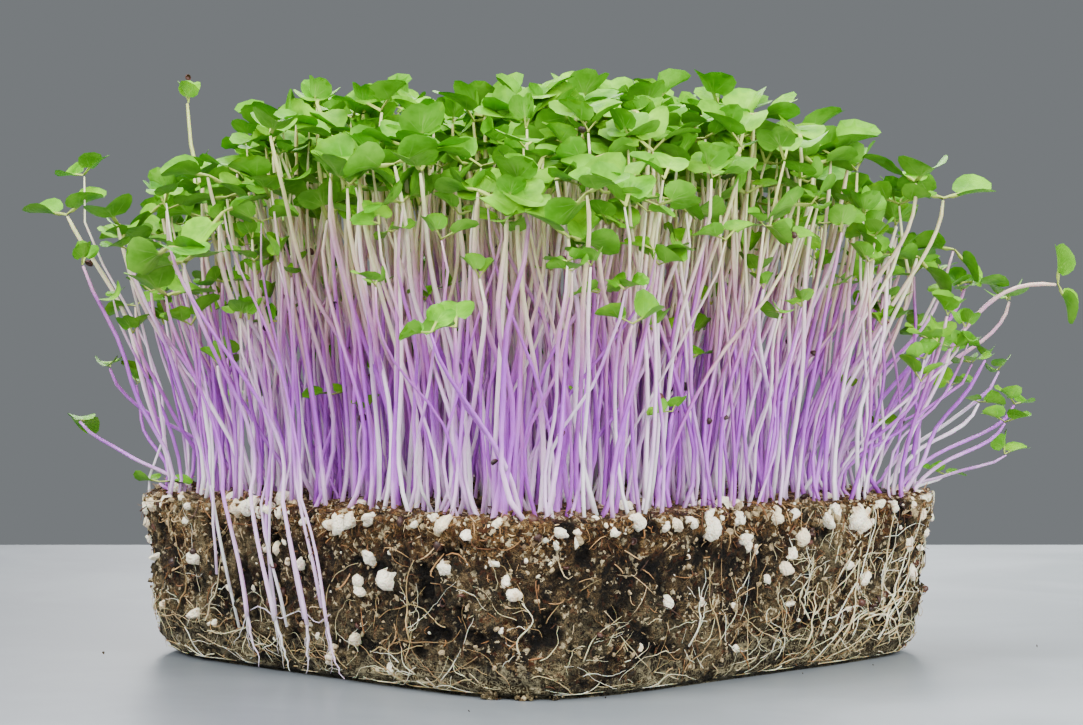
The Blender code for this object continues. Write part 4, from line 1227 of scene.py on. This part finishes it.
def make_felt(skin):
    """The felt of roots: a dish turned round the block's outline, from the middle of its underside out
    to the foot, up to the ragged lip and back down inside. Fine waves that run along it roughen it."""
    angle = 2 * math.pi * np.arange(FELT_AROUND) / FELT_AROUND
    lip = lip_line(angle)
    under, climb, inner_half, inner_z = (0.25, 0.6, 0.9, 1.0), 21, 25.0, 1.0
    rows = [(np.full_like(lip, MAT_OUTSIDE[0][1] * share), 0 * lip) for share in under]
    for share in np.linspace(0, 1, climb + 1)[1:]:
        z = lip * share
        rows.append((np.interp(z, *zip(*MAT_OUTSIDE)) - 0.9 * share**3, z))
    for share in np.linspace(1, 0, 6):
        z = np.maximum(lip * share, MAT_INSIDE[0][0])
        rows.append((np.interp(z, *zip(*MAT_INSIDE)) - 0.9 * share**3, z - 0.25 * (share < 1)))
    rows.append((np.full_like(lip, inner_half), np.full_like(lip, inner_z)))
    half, z = np.array(rows).transpose(1, 0, 2)
    ring = np.broadcast_to(angle, half.shape)
    run = np.stack([ring * 60 * MM, z * MM, half * MM], -1)
    rough = 0.3 * soft_noise(run * (0.3, 1.6, 1), 1.3 * MM, 31) + 0.35 * soft_noise(run, 2.2 * MM, 33)
    rough += 0.2 * soft_noise(run * (0.5, 2, 1), 0.7 * MM, 35)
    wall = np.zeros(half.shape)
    wall[len(under) : len(under) + climb] = np.minimum(1, np.arange(1, climb + 1) / 4)[:, None]
    r = square_radius(ring) * (half + rough * wall) * MM
    points = np.stack([r * np.cos(ring), r * np.sin(ring), z * MM], -1)
    ends = [[0, 0, 0], [0, 0, inner_z * MM]]
    piece = ringed("root_felt", points, ends, {"rise": (rough * wall, 0), "up": (z / lip, 0)})
    finish_piece(piece, skin, "roots", "root_mat")


def wall_line(angle, z, out):
    """Points on the gently swelling wall at those angles and heights in mm, out from it."""
    q = np.clip((z - FOOT_Z) / (SOIL_TOP / MM - BRIM - FOOT_Z), 0, 1.04)
    base, facing = soil_base(angle, q)
    swell = 0.5 * soft_noise(base, 11 * MM, 1) + 0.25 * soft_noise(base, 3 * MM, 41)
    on_felt = 0.7 * np.clip((lip_line(angle) + 1.5 - z) / 2, 0, 1)
    return base + facing * ((swell + on_felt + out) * MM)[..., None]


def smoothed(line):
    """The line with each inner value drawn halfway to the mean of its neighbours."""
    return np.array([line[0], *(line[:-2] + 2 * line[1:-1] + line[2:]) / 4, line[-1]])


def make_roots(strands, skin):
    """Roots on the walls: strands with side roots, others that set off any way and wander, and those
    that run round the foot in the felt. Each is a tube along a line of angles and heights; a wandering
    one is the running sum of steps whose heading turns by a random walk."""
    rng = np.random.default_rng(91)
    lines, radii = [], []
    steps = np.linspace(0, 1, ROOT_POINTS)

    def lay(angle, z, out, radius):
        """Adds one root, which tapers."""
        lines.append(wall_line(angle, np.clip(z, 0.35, 30.2), out))
        radii.append(radius * (1 - 0.6 * steps) * MM)

    def wander(angle, z, heading, long, thick, wild):
        """A root of a length and a radius drawn from those ranges."""
        long, radius = rng.uniform(*long), rng.uniform(*thick)
        turned = heading + np.cumsum(rng.normal(0, wild, ROOT_POINTS)) + rng.normal(0, 0.5) * steps
        stride = long / ROOT_POINTS
        run, climb = np.cumsum(np.cos(turned)) * stride, np.cumsum(np.sin(turned)) * stride
        out = 0.3 + 0.22 * np.sin(rng.uniform(5, 9) * steps + rng.uniform(0, 6))
        lay(angle + run / 66, z + climb, out, radius)

    for path in strands:
        known = np.array(path)
        place = np.linspace(0, 1, len(known))
        stray = 0.006 * np.cumsum(rng.normal(0, 1, ROOT_POINTS)) / 3.6
        angle = np.interp(steps, place, known[:, 0]) + stray
        z = np.interp(steps, place, known[:, 1] / MM)
        for _ in range(3):
            angle, z = smoothed(angle), smoothed(z)
        lay(angle, z, 0.4 + 0.15 * np.sin(9 * steps), rng.uniform(0.14, 0.22))
        for _ in range(SIDE_ROOTS):
            k = rng.integers(1, ROOT_POINTS - 1)
            wander(angle[k], z[k], rng.choice((0.5, 2.6)) + rng.normal(0, 0.5), (2, 8), (0.05, 0.09), 0.3)
    for _ in range(LONG_ROOTS):
        wander(rng.uniform(0.1, 0.6), rng.uniform(2, 9), rng.normal(1.05, 0.35), (14, 30), (0.15, 0.26), 0.2)
    for _ in range(WALL_ROOTS):
        a = rng.uniform(0.02, 0.74) if rng.random() < 0.4 else rng.uniform(0, 2 * math.pi)
        z = rng.uniform(2, 25) * (1 if a < 0.8 else rng.uniform(0.4, 1))
        heading = rng.normal(1.1, 0.5) if rng.random() < 0.5 else rng.uniform(-0.6, 3.7)
        wander(a, z, heading, (3, 16), (0.045, 0.12), 0.26)
    for middle, wide, low, high in ((0.79, 0.05, 15, 31), (-2.36, 0.06, 6, 30)):
        for _ in range(EDGE_ROOTS):
            heading = rng.normal(1.5, 0.45) if rng.random() < 0.7 else rng.uniform(0, math.pi)
            wander(rng.normal(middle, wide), rng.uniform(low, high), heading, (2, 9), (0.04, 0.1), 0.3)
    for _ in range(FOOT_ROOTS):
        a = rng.uniform(0, 2 * math.pi)
        z = rng.uniform(0.5, 9) * rng.uniform(0.2, 1)
        if rng.random() < 0.25 + 0.1 * lip_line(a):
            wander(a, z, rng.choice((0.0, math.pi)) + rng.normal(0, 0.35), (4, 18), (0.045, 0.14), 0.24)
    lines, radii = np.array(lines), np.array(radii)
    lines[..., 2] = np.maximum(lines[..., 2], radii + 0.02 * MM)
    points, faces, each = many_tubes(lines, radii, 3)
    tone = np.repeat(rng.random(len(lines)), each)
    finish_piece(surface("fine_roots", points, faces, values={"tone": tone}), skin, "roots")


# ---------------------------------------------------------------- finishes


def tint(red, green, blue):
    """A colour given as the eye sees it, from 0 to 255, as light."""
    v = np.array([red, green, blue]) / 255
    return (*np.where(v <= 0.04045, v / 12.92, ((v + 0.055) / 1.055) ** 2.4), 1.0)


class Wiring:
    """Short ways to add shader nodes to one tree. Each sets or links a node's inputs and gives back
    what the node puts out."""

    def __init__(self, tree):
        self.tree = tree

    def put(self, kind, inputs, **settings):
        """Outputs of a new node with those inputs and settings."""
        node = self.tree.nodes.new("ShaderNode" + kind)
        for key, value in settings.items():
            setattr(node, key, value)
        for key, value in inputs.items():
            if isinstance(value, bpy.types.NodeSocket):
                self.tree.links.new(value, node.inputs[key])
            else:
                node.inputs[key].default_value = value
        return node.outputs

    def math(self, operation, a, b=0.0):
        """One number worked out from two."""
        return self.put("Math", {0: a, 1: b}, operation=operation)[0]

    def times(self, a, b):
        """Product of two numbers."""
        return self.math("MULTIPLY", a, b)

    def plus(self, a, b):
        """Sum of two numbers."""
        return self.math("ADD", a, b)

    def minus(self, a, b):
        """Difference of two numbers."""
        return self.math("SUBTRACT", a, b)

    def most(self, a, b):
        """The larger of two numbers."""
        return self.math("MAXIMUM", a, b)

    def spread(self, value, low, high, to_low=0.0, to_high=1.0):
        """The value, with low to high eased over to_low to to_high and held there."""
        inputs = {"Value": value, "From Min": low, "From Max": high, "To Min": to_low, "To Max": to_high}
        return self.put("MapRange", inputs, interpolation_type="SMOOTHSTEP")[0]

    def blend(self, factor, a, b, mode="MIX"):
        """Colour a, blended into b by that factor."""
        return self.put("Mix", {0: factor, 6: a, 7: b}, data_type="RGBA", blend_type=mode)[2]

    def noise(self, coords, scale, detail=3.0, rough=0.55, warp=0.0):
        """Cloudy numbers round 0.5."""
        inputs = {"Vector": coords, "Scale": scale, "Detail": detail, "Roughness": rough, "Distortion": warp}
        return self.put("TexNoise", inputs)[0]

    def ramp(self, value, *stops):
        """A colour for each value, from (place, red, green, blue) stops from 0 to 1."""
        outputs = self.put("ValToRGB", {0: value})
        elements = outputs[0].node.color_ramp.elements
        for place, *colour in stops:
            stop = elements[0] if place == 0 else elements[-1] if place == 1 else elements.new(place)
            stop.color = tint(*colour)
        return outputs[0]

    def stretched(self, coords, scale):
        """The coordinates times the scale, axis by axis."""
        return self.put("Mapping", {"Vector": coords, "Scale": scale})[0]

    def parts(self, vector):
        """X, Y and Z of a vector."""
        return self.put("SeparateXYZ", {0: vector})

    def number(self, key):
        """The piece's own numbers of that name."""
        return self.put("Attribute", {}, attribute_name=key)["Fac"]

    def group(self, group, inputs):
        """What a node group puts out."""
        return self.put("Group", inputs, node_tree=group)


class Finish(Wiring):
    """A new material round its Principled BSDF."""

    def __init__(self, name):
        self.made = bpy.data.materials.new(name)
        self.made.use_nodes = True
        super().__init__(self.made.node_tree)
        self.shader = self.tree.nodes["Principled BSDF"]

    def give(self, colour, rough, height, strength, distance):
        """Wires colour, roughness and a bump of that height to the shader."""
        bump = self.put("Bump", {"Height": height, "Strength": strength, "Distance": distance})
        for value, name in ((colour, "Base Color"), (rough, "Roughness"), (bump[0], "Normal")):
            self.tree.links.new(value, self.shader.inputs[name])


def started(name):
    """A new material, and the object's own coordinates in it."""
    w = Finish(name)
    return w, w.put("TexCoord", {})["Object"]


def group_of(name, inputs, outputs):
    """The wiring of an empty node group with those vectors and numbers as inputs, its given values, and
    the inputs of its end node."""
    tree = bpy.data.node_groups.new(name, "ShaderNodeTree")
    for key, value in inputs.items():
        kind = "NodeSocketVector" if value is None else "NodeSocketFloat"
        socket = tree.interface.new_socket(name=key, in_out="INPUT", socket_type=kind)
        if value is not None:
            socket.default_value = value
    for key in outputs:
        tree.interface.new_socket(name=key, in_out="OUTPUT", socket_type="NodeSocketFloat")
    return Wiring(tree), tree.nodes.new("NodeGroupInput").outputs, tree.nodes.new("NodeGroupOutput").inputs


def mottle_group():
    """Uneven growth or dirt: broad patches, fine speckle, and both as one height. Grain is the count of
    the speckle's cells along a metre."""
    inputs = {"Coords": None, "Grain": 1500.0}
    w, given, put_out = group_of("uneven_mottle", inputs, ("Patches", "Speckle", "Height"))
    patches = w.noise(given["Coords"], w.times(given["Grain"], 0.16), 3.0, 0.6)
    speckle = w.noise(given["Coords"], given["Grain"], 2.0, 0.65)
    height = w.plus(w.times(patches, 0.6), w.times(speckle, 0.4))
    for key, value in (("Patches", patches), ("Speckle", speckle), ("Height", height)):
        w.tree.links.new(value, put_out[key])
    return w.tree


def fibre_group():
    """Matted fibres: thin bright lines where warped bands cross zero, in three ways at once. Size is how
    many fibres lie across a metre."""
    w, given, put_out = group_of("matted_fibres", {"Coords": None, "Size": 700.0}, ("Fibres", "Height"))
    lines = []
    for scale, factor in (((1.0, 1.0, 2.6), 1.0), ((2.2, 2.2, 0.8), 1.7), ((1.4, 1.4, 1.1), 0.55)):
        wave = w.noise(w.stretched(given["Coords"], scale), w.times(given["Size"], factor), 1.5, 0.5, 1.2)
        far = w.math("ABSOLUTE", w.minus(wave, 0.5))
        lines.append(w.spread(far, 0.0, 0.045, 1.0, 0.0))
    both = w.most(lines[0], lines[1])
    w.tree.links.new(w.most(both, w.times(lines[2], 0.8)), put_out["Fibres"])
    w.tree.links.new(w.plus(w.times(both, 0.7), w.times(lines[2], 0.5)), put_out["Height"])
    return w.tree


def stem_finish(mottle):
    """Waxy stems: purple, pink or white over the soil, each its own shade and neighbours alike, paling
    through pink and cream to green under the leaves, with fine lengthwise streaks."""
    w, coords = started("stem_skin")
    z = w.parts(coords)["Z"]
    tone = w.number("tone")
    grain = w.group(mottle, {"Coords": coords, "Grain": 900.0})
    shifted = w.plus(z, w.times(w.minus(grain["Patches"], 0.5), 0.024))
    shifted = w.plus(shifted, w.times(w.minus(tone, 0.5), 0.02))
    flat = w.put("MapRange", {"Value": shifted, "From Min": 0.028, "From Max": 0.104})[0]
    purple = ((0, 236, 200, 242), (0.1, 200, 122, 226), (0.22, 178, 86, 210), (0.4, 184, 104, 194))
    straw = ((0.56, 214, 174, 182), (0.7, 228, 216, 168), (0.86, 208, 216, 134), (1, 186, 200, 104))
    strong = w.ramp(flat, *purple, *straw)
    white = ((0, 250, 246, 246), (0.2, 250, 226, 250), (0.42, 246, 212, 234), (0.6, 242, 230, 198))
    pale = w.ramp(flat, *white, (0.8, 226, 230, 160), (1, 186, 202, 108))
    own = w.math("FRACT", w.times(tone, 7.3))
    clump = w.noise(w.stretched(coords, (1.0, 1.0, 0.12)), 110.0, 1.0)
    own = w.plus(own, w.times(w.minus(clump, 0.5), 1.5))
    colour = w.blend(w.spread(own, 0.42, 0.9), strong, pale)
    streaks = w.noise(w.stretched(coords, (1.0, 1.0, 0.06)), 2600.0, 2.0, 0.6)
    darker = w.blend(1.0, colour, tint(214, 176, 210), "MULTIPLY")
    colour = w.blend(w.spread(streaks, 0.35, 0.7, 0.0, 0.3), colour, darker)
    rough = w.spread(grain["Patches"], 0.3, 0.7, 0.26, 0.42)
    w.give(colour, rough, w.plus(streaks, w.times(grain["Speckle"], 0.3)), 0.2, 0.0002)
    w.shader.inputs["Subsurface Weight"].default_value = 0.5
    w.shader.inputs["Subsurface Radius"].default_value = (1.0, 0.55, 0.9)
    w.shader.inputs["Subsurface Scale"].default_value = 0.0012
    return w.made


def leaf_finish(mottle):
    """Seed leaves: fresh green in soft patches, with a paler midrib, the underside lighter and duller,
    the stalk yellow-green."""
    w, coords = started("leaf_skin")
    uv = w.parts(w.put("UVMap", {}, uv_map="along")[0])
    under = w.math("GREATER_THAN", uv["X"], 1.0)
    s = w.minus(uv["X"], under)
    a = w.math("ABSOLUTE", w.minus(w.times(uv["Y"], 2.0), 1.0))
    tone, hue = w.number("tone"), w.number("hue")
    grain = w.group(mottle, {"Coords": coords, "Grain": 1500.0})
    blade = w.spread(s, 0.14, 0.3)
    midrib = w.times(w.spread(a, 0.0, 0.07, 1.0, 0.0), w.spread(s, 0.4, 0.95, 1.0, 0.0))
    far = w.math("ABSOLUTE", w.minus(w.math("FRACT", w.times(a, 3.2)), 0.5))
    side = w.times(w.spread(far, 0.02, 0.1, 1.0, 0.0), w.spread(s, 0.45, 0.85, 0.6, 0.0))
    inner = w.times(side, w.spread(a, 0.6, 0.75, 1.0, 0.0))
    vein = w.times(w.most(midrib, inner), blade)
    deep = w.blend(hue, tint(38, 101, 0), tint(66, 132, 2))
    light = w.blend(hue, tint(88, 165, 8), tint(136, 199, 28))
    green = w.blend(w.spread(grain["Patches"], 0.25, 0.75), deep, light)
    green = w.blend(w.spread(tone, 0.0, 1.0, 0.0, 0.24), green, tint(128, 190, 50))
    green = w.blend(w.times(vein, 0.3), green, tint(146, 188, 84))
    back = w.blend(w.spread(grain["Patches"], 0.3, 0.7), tint(80, 147, 22), tint(114, 177, 48))
    back = w.blend(w.times(vein, 0.5), back, tint(160, 194, 98))
    colour = w.blend(under, green, back)
    colour = w.blend(blade, tint(168, 186, 88), colour)
    rough = w.spread(grain["Speckle"], 0.3, 0.7, 0.42, 0.58)
    height = w.minus(w.times(grain["Height"], 0.6), w.times(vein, 0.45))
    w.give(colour, rough, height, 0.15, 0.0003)
    w.shader.inputs["Specular IOR Level"].default_value = 0.1
    return w.made


def soil_finish(mottle, fibres, name, crumb=False):
    """Potting soil: near black with rusty and tan peat fibres, brownest at the brim, cream specks, and a haze
    of fine roots in patches near the foot, on the -Y wall towards -X and on the +X wall towards +Y. On crumbs
    some are cream all over. On the block, painted shade darkens the pits of its relief to near black."""
    w, coords = started(name)
    own = w.number("tone" if crumb else "own")
    grain = w.group(mottle, {"Coords": coords, "Grain": 2600.0})
    peat = w.group(fibres, {"Coords": coords, "Size": 900.0})
    shake = w.put("TexNoise", {"Vector": coords, "Scale": 1300.0, "Detail": 2.0})["Color"]
    shaken = w.put("VectorMath", {0: shake, 1: [1.6 * MM] * 3, 2: coords}, operation="MULTIPLY_ADD")[0]
    cells = w.put("TexVoronoi", {"Vector": shaken, "Scale": 1500.0, "Randomness": 1.0})
    own_cell = w.put("SeparateColor", {0: cells["Color"]})
    split = w.parts(coords)
    z = split["Z"]
    dark = w.blend(own, tint(6, 5, 4), tint(18, 13, 9))
    light = w.blend(own, tint(32, 24, 16), tint(68, 50, 30))
    colour = w.blend(w.spread(grain["Patches"], 0.5, 0.62), dark, light)
    upper = w.spread(w.plus(z, w.times(w.noise(coords, 90.0), 0.012)), 0.027, 0.035)
    loose = w.noise(coords, 230.0, 2.0)
    rust = w.blend(own, tint(94, 57, 24), tint(168, 118, 62))
    colour = w.blend(w.times(w.times(upper, 0.8), w.spread(grain["Speckle"], 0.5, 0.57)), colour, rust)
    thick = w.times(w.spread(grain["Patches"], 0.4, 0.56, 0.1, 1.0), w.spread(loose, 0.4, 0.56, 0.3, 1.0))
    brown = w.blend(upper, tint(98, 70, 40), tint(132, 80, 34))
    straw = w.blend(upper, tint(208, 176, 122), tint(228, 188, 122))
    colour = w.blend(w.times(peat["Fibres"], thick), colour, w.blend(own_cell["Red"], brown, straw))
    pale = w.plus(own_cell["Green"], w.times(w.minus(loose, 0.5), 0.5))
    pale = w.plus(pale, w.times(upper, 0.06))
    colour = w.blend(w.spread(pale, 0.92, 0.94, 0.0, 0.95), colour, tint(240, 220, 174))
    colour = w.blend(w.spread(own_cell["Blue"], 0.9, 0.92, 0.0, 0.7), colour, tint(92, 48, 24))
    if crumb:
        colour = w.blend(w.spread(own, 0.8, 0.82), colour, tint(232, 206, 158))
    web = w.group(fibres, {"Coords": coords, "Size": 560.0})
    low = w.spread(z, 0.004, 0.022, 0.6, 0.05)
    cloud = w.noise(coords, 70.0)
    left = w.times(w.spread(split["Y"], -0.056, -0.06, 0.0, 0.8), w.spread(split["X"], 0.0, -0.04))
    right = w.times(w.spread(split["X"], 0.056, 0.06, 0.0, 0.7), w.spread(split["Y"], 0.0, 0.03))
    thin = w.times(web["Fibres"], w.times(w.most(low, w.most(left, right)), w.spread(cloud, 0.42, 0.6)))
    colour = w.blend(thin, colour, tint(214, 196, 146))
    film = w.times(w.most(left, right), w.spread(cloud, 0.46, 0.64))
    colour = w.blend(w.times(film, 0.45), colour, tint(158, 140, 100))
    if not crumb:
        rise = w.number("rise")
        # painted shade: where the relief sinks into pits, the soil is darkened to near black
        colour = w.blend(w.spread(rise, -0.9, 0.45, 0.95, 0.0), colour, tint(5, 4, 3))
    rough = w.spread(own_cell["Green"], 0.0, 1.0, 0.5, 0.95)
    height = w.plus(grain["Height"], w.times(peat["Height"], 0.5))
    height = w.plus(height, w.times(cells["Distance"], -0.8))
    w.give(colour, rough, height, 1.0, 0.0009)
    w.shader.inputs["Specular IOR Level"].default_value = 0.18
    return w.made


def perlite_finish(mottle):
    """Perlite: chalky warm white, with tan pits and brown dust."""
    w, coords = started("perlite_grain")
    grain = w.group(mottle, {"Coords": coords, "Grain": 2200.0})
    pits = w.put("TexVoronoi", {"Vector": coords, "Scale": 2100.0})["Distance"]
    colour = w.blend(w.spread(pits, 0.05, 0.4), tint(226, 206, 166), tint(255, 246, 220))
    colour = w.blend(w.spread(grain["Patches"], 0.54, 0.72, 0.0, 0.6), colour, tint(184, 144, 92))
    colour = w.blend(w.spread(w.number("tone"), 0.5, 1.0, 0.0, 0.5), colour, tint(232, 206, 156))
    w.give(colour, w.spread(pits, 0.0, 0.5, 0.75, 0.95), w.plus(pits, grain["Speckle"]), 0.7, 0.0004)
    w.shader.inputs["Subsurface Weight"].default_value = 0.15
    w.shader.inputs["Subsurface Scale"].default_value = 0.0006
    return w.made


def husk_finish(mottle):
    """Split seed coats: dark red-brown with a dull gloss and a net of fine dents."""
    w, coords = started("seed_husk")
    grain = w.group(mottle, {"Coords": coords, "Grain": 3000.0})
    net = w.put("TexVoronoi", {"Vector": coords, "Scale": 4200.0})["Distance"]
    colour = w.blend(w.number("tone"), tint(34, 18, 15), tint(74, 36, 24))
    colour = w.blend(w.spread(grain["Patches"], 0.45, 0.75, 0.0, 0.5), colour, tint(104, 62, 40))
    w.give(colour, w.spread(net, 0.0, 0.5, 0.32, 0.5), net, 0.4, 0.0001)
    return w.made


def wood_finish(mottle):
    """Wood and peat fibres: each from tan to rusty or dark brown, with darker speckles."""
    w, coords = started("wood_fibre")
    grain = w.group(mottle, {"Coords": coords, "Grain": 1800.0})
    browns = ((0, 44, 26, 14), (0.3, 104, 62, 30), (0.6, 158, 108, 58), (0.82, 208, 168, 112))
    colour = w.ramp(w.number("tone"), *browns, (1, 240, 216, 168))
    colour = w.blend(w.spread(grain["Speckle"], 0.4, 0.7, 0.0, 0.5), colour, tint(64, 42, 26))
    w.give(colour, w.spread(grain["Patches"], 0.3, 0.7, 0.6, 0.85), grain["Height"], 0.5, 0.0002)
    return w.made


def felt_finish(mottle, fibres):
    """Root felt: beige and grey strings over dark soil that shows between them, thickest by the foot and
    thinning out towards the lip. Painted shade darkens its hollows to near black, and a painted shadow
    darkens a band just over the underside, where the rounded foot meets the floor."""
    w, coords = started("root_felt_finish")
    grain = w.group(mottle, {"Coords": coords, "Grain": 1100.0})
    web = w.group(fibres, {"Coords": coords, "Size": 300.0})
    fine_web = w.group(fibres, {"Coords": coords, "Size": 1000.0})
    z = w.parts(coords)["Z"]
    cover = w.spread(w.number("up"), 0.15, 0.8, 1.0, 0.05)
    foot = w.times(w.spread(z, 0.0004, 0.004, 1.0, 0.1), w.spread(w.noise(coords, 45.0), 0.35, 0.6, 0.3, 1.0))
    patch = w.most(foot, w.times(w.spread(w.noise(coords, 110.0), 0.46, 0.62), 0.75))
    patch = w.most(w.times(patch, cover), w.spread(z, 0.02, 0.026))
    base = w.blend(w.spread(grain["Speckle"], 0.35, 0.65), tint(9, 7, 4), tint(38, 28, 16))
    base = w.blend(w.times(patch, 0.12), base, tint(116, 88, 46))
    colour = w.blend(w.times(fine_web["Fibres"], w.times(patch, 0.26)), base, tint(186, 156, 96))
    colour = w.blend(w.times(web["Fibres"], w.plus(w.times(patch, 0.78), 0.2)), colour, tint(250, 236, 186))
    # painted shade: the felt's hollows, where its roughness sinks, are darkened to near black
    colour = w.blend(w.spread(w.number("rise"), -0.45, 0.25, 0.9, 0.0), colour, tint(11, 9, 7))
    # painted shadow: a dark band low on the felt, from just over the underside up to about 2.6 mm, where the
    # rounded foot meets the floor
    painted_foot_shadow = w.times(w.spread(z, 0.00002, 0.0003), w.spread(z, 0.0004, 0.0026, 0.85, 0.0))
    colour = w.blend(painted_foot_shadow, colour, tint(14, 11, 8))
    w.give(colour, w.spread(grain["Speckle"], 0.3, 0.7, 0.45, 0.75), web["Height"], 0.8, 0.0007)
    w.shader.inputs["Specular IOR Level"].default_value = 0.12
    return w.made


def root_finish(mottle):
    """Fine roots: ivory to beige, dusty with soil in places."""
    w, coords = started("root_fibre")
    grain = w.group(mottle, {"Coords": coords, "Grain": 1100.0})
    creams = ((0, 255, 248, 224), (0.42, 238, 222, 176), (0.76, 188, 160, 108), (1, 128, 100, 62))
    colour = w.ramp(w.number("tone"), *creams)
    colour = w.blend(w.spread(grain["Patches"], 0.48, 0.7, 0.0, 0.6), colour, tint(126, 100, 66))
    w.give(colour, w.spread(grain["Speckle"], 0.3, 0.7, 0.4, 0.7), grain["Height"], 0.3, 0.0002)
    w.shader.inputs["Subsurface Weight"].default_value = 0.25
    w.shader.inputs["Subsurface Scale"].default_value = 0.0006
    return w.made


# ---------------------------------------------------------------- floor, light and camera


def lay_floor():
    """A plain pale slab, turned 45 degrees, that ends close behind the block. Its colour is faintly cloudy,
    with painted light: darker towards -X -Y and lighter towards +X +Y.
    """
    far, near, deep = 0.256, 0.8, 0.03
    mesh = bpy.data.meshes.new("floor")
    corners = ((near, near), (near, -far), (-near, -far), (-near, near))
    ring = [((side + front) / math.sqrt(2), (side - front) / math.sqrt(2)) for side, front in corners]
    points = [(x, y, 0.0) for x, y in ring] + [(x, y, -deep) for x, y in ring]
    sides = [(k, k + 4, (k + 1) % 4 + 4, (k + 1) % 4) for k in range(4)]
    mesh.from_pydata(points, [], [(0, 1, 2, 3), (7, 6, 5, 4)] + sides)
    slab = bpy.data.objects.new("floor", mesh)
    bpy.context.scene.collection.objects.link(slab)
    w, coords = started("pale_floor")
    cloud = w.noise(coords, 14.0, 4.0, 0.6, 0.8)
    split = w.parts(coords)
    # painted light: the floor's colour runs from darker towards -X -Y to lighter towards +X +Y, a fall-off of
    # light painted in; dim and bright are the cloud's two tones along it
    across = w.spread(w.plus(split["X"], split["Y"]), -0.2, 0.2)
    dim = w.blend(across, tint(84, 90, 97), tint(140, 147, 151))
    bright = w.blend(across, tint(100, 106, 112), tint(154, 161, 165))
    colour = w.blend(w.spread(cloud, 0.35, 0.7), dim, bright)
    w.tree.links.new(colour, w.shader.inputs["Base Color"])
    w.shader.inputs["Roughness"].default_value = 0.36
    mesh.materials.append(w.made)


def light_room():
    """Plain soft light: a pale grey room, broad lamps to the left, to the right and above, weaker ones
    in front and behind."""
    world = bpy.data.worlds.new("grey_room")
    world.use_nodes = True
    world.node_tree.nodes["Background"].inputs["Color"].default_value = tint(119, 123, 126)
    bpy.context.scene.world = world
    for name, place, size, power in (
        ("lamp_left", (-0.25, -0.95, 0.85), 0.9, 29.0),
        ("lamp_right", (1.0, -0.1, 0.65), 0.8, 26.0),
        ("lamp_above", (-0.1, 0.1, 1.15), 1.0, 27.0),
        ("lamp_front", (0.8, -0.8, 0.42), 0.7, 6.5),
        ("lamp_behind", (-0.9, 0.8, 0.7), 0.8, 12.0),
    ):
        lamp = bpy.data.lights.new(name, "AREA")
        lamp.shape, lamp.size, lamp.energy = "DISK", size, power
        stand = bpy.data.objects.new(name, lamp)
        stand.location = place
        stand.rotation_euler = (Vector((0, 0, 0.05)) - Vector(place)).to_track_quat("-Z", "Y").to_euler()
        bpy.context.scene.collection.objects.link(stand)


def set_camera():
    """A long lens at the corner +X -Y, a little over the soil's top and tipped slightly down."""
    lens = bpy.data.cameras.new("camera")
    lens.lens, lens.sensor_width, lens.clip_start = 89.4, 36.0, 0.01
    camera = bpy.data.objects.new("camera", lens)
    turn, down = math.radians(45), math.radians(0.735)
    away, side, up = 0.371, 0.0007, 0.063
    camera.location = (away + side * math.cos(turn), -away + side * math.sin(turn), up)
    camera.rotation_euler = (math.pi / 2 - down, 0.0, turn)
    bpy.context.scene.collection.objects.link(camera)
    bpy.context.scene.camera = camera


# ---------------------------------------------------------------- the whole

mottle, fibres = mottle_group(), fibre_group()
bunches = grow_stand()
strands = strand_paths()
loose = make_sprouts(bunches, stem_finish(mottle), leaf_finish(mottle))
make_soil(soil_finish(mottle, fibres, "soil_mix"))
bits_skins = (
    soil_finish(mottle, fibres, "soil_crumb", crumb=True),
    perlite_finish(mottle),
    husk_finish(mottle),
    wood_finish(mottle),
)
make_soil_bits(strands, bunches, loose, *bits_skins)
make_felt(felt_finish(mottle, fibres))
make_roots(strands, root_finish(mottle))
lay_floor()
light_room()
set_camera()
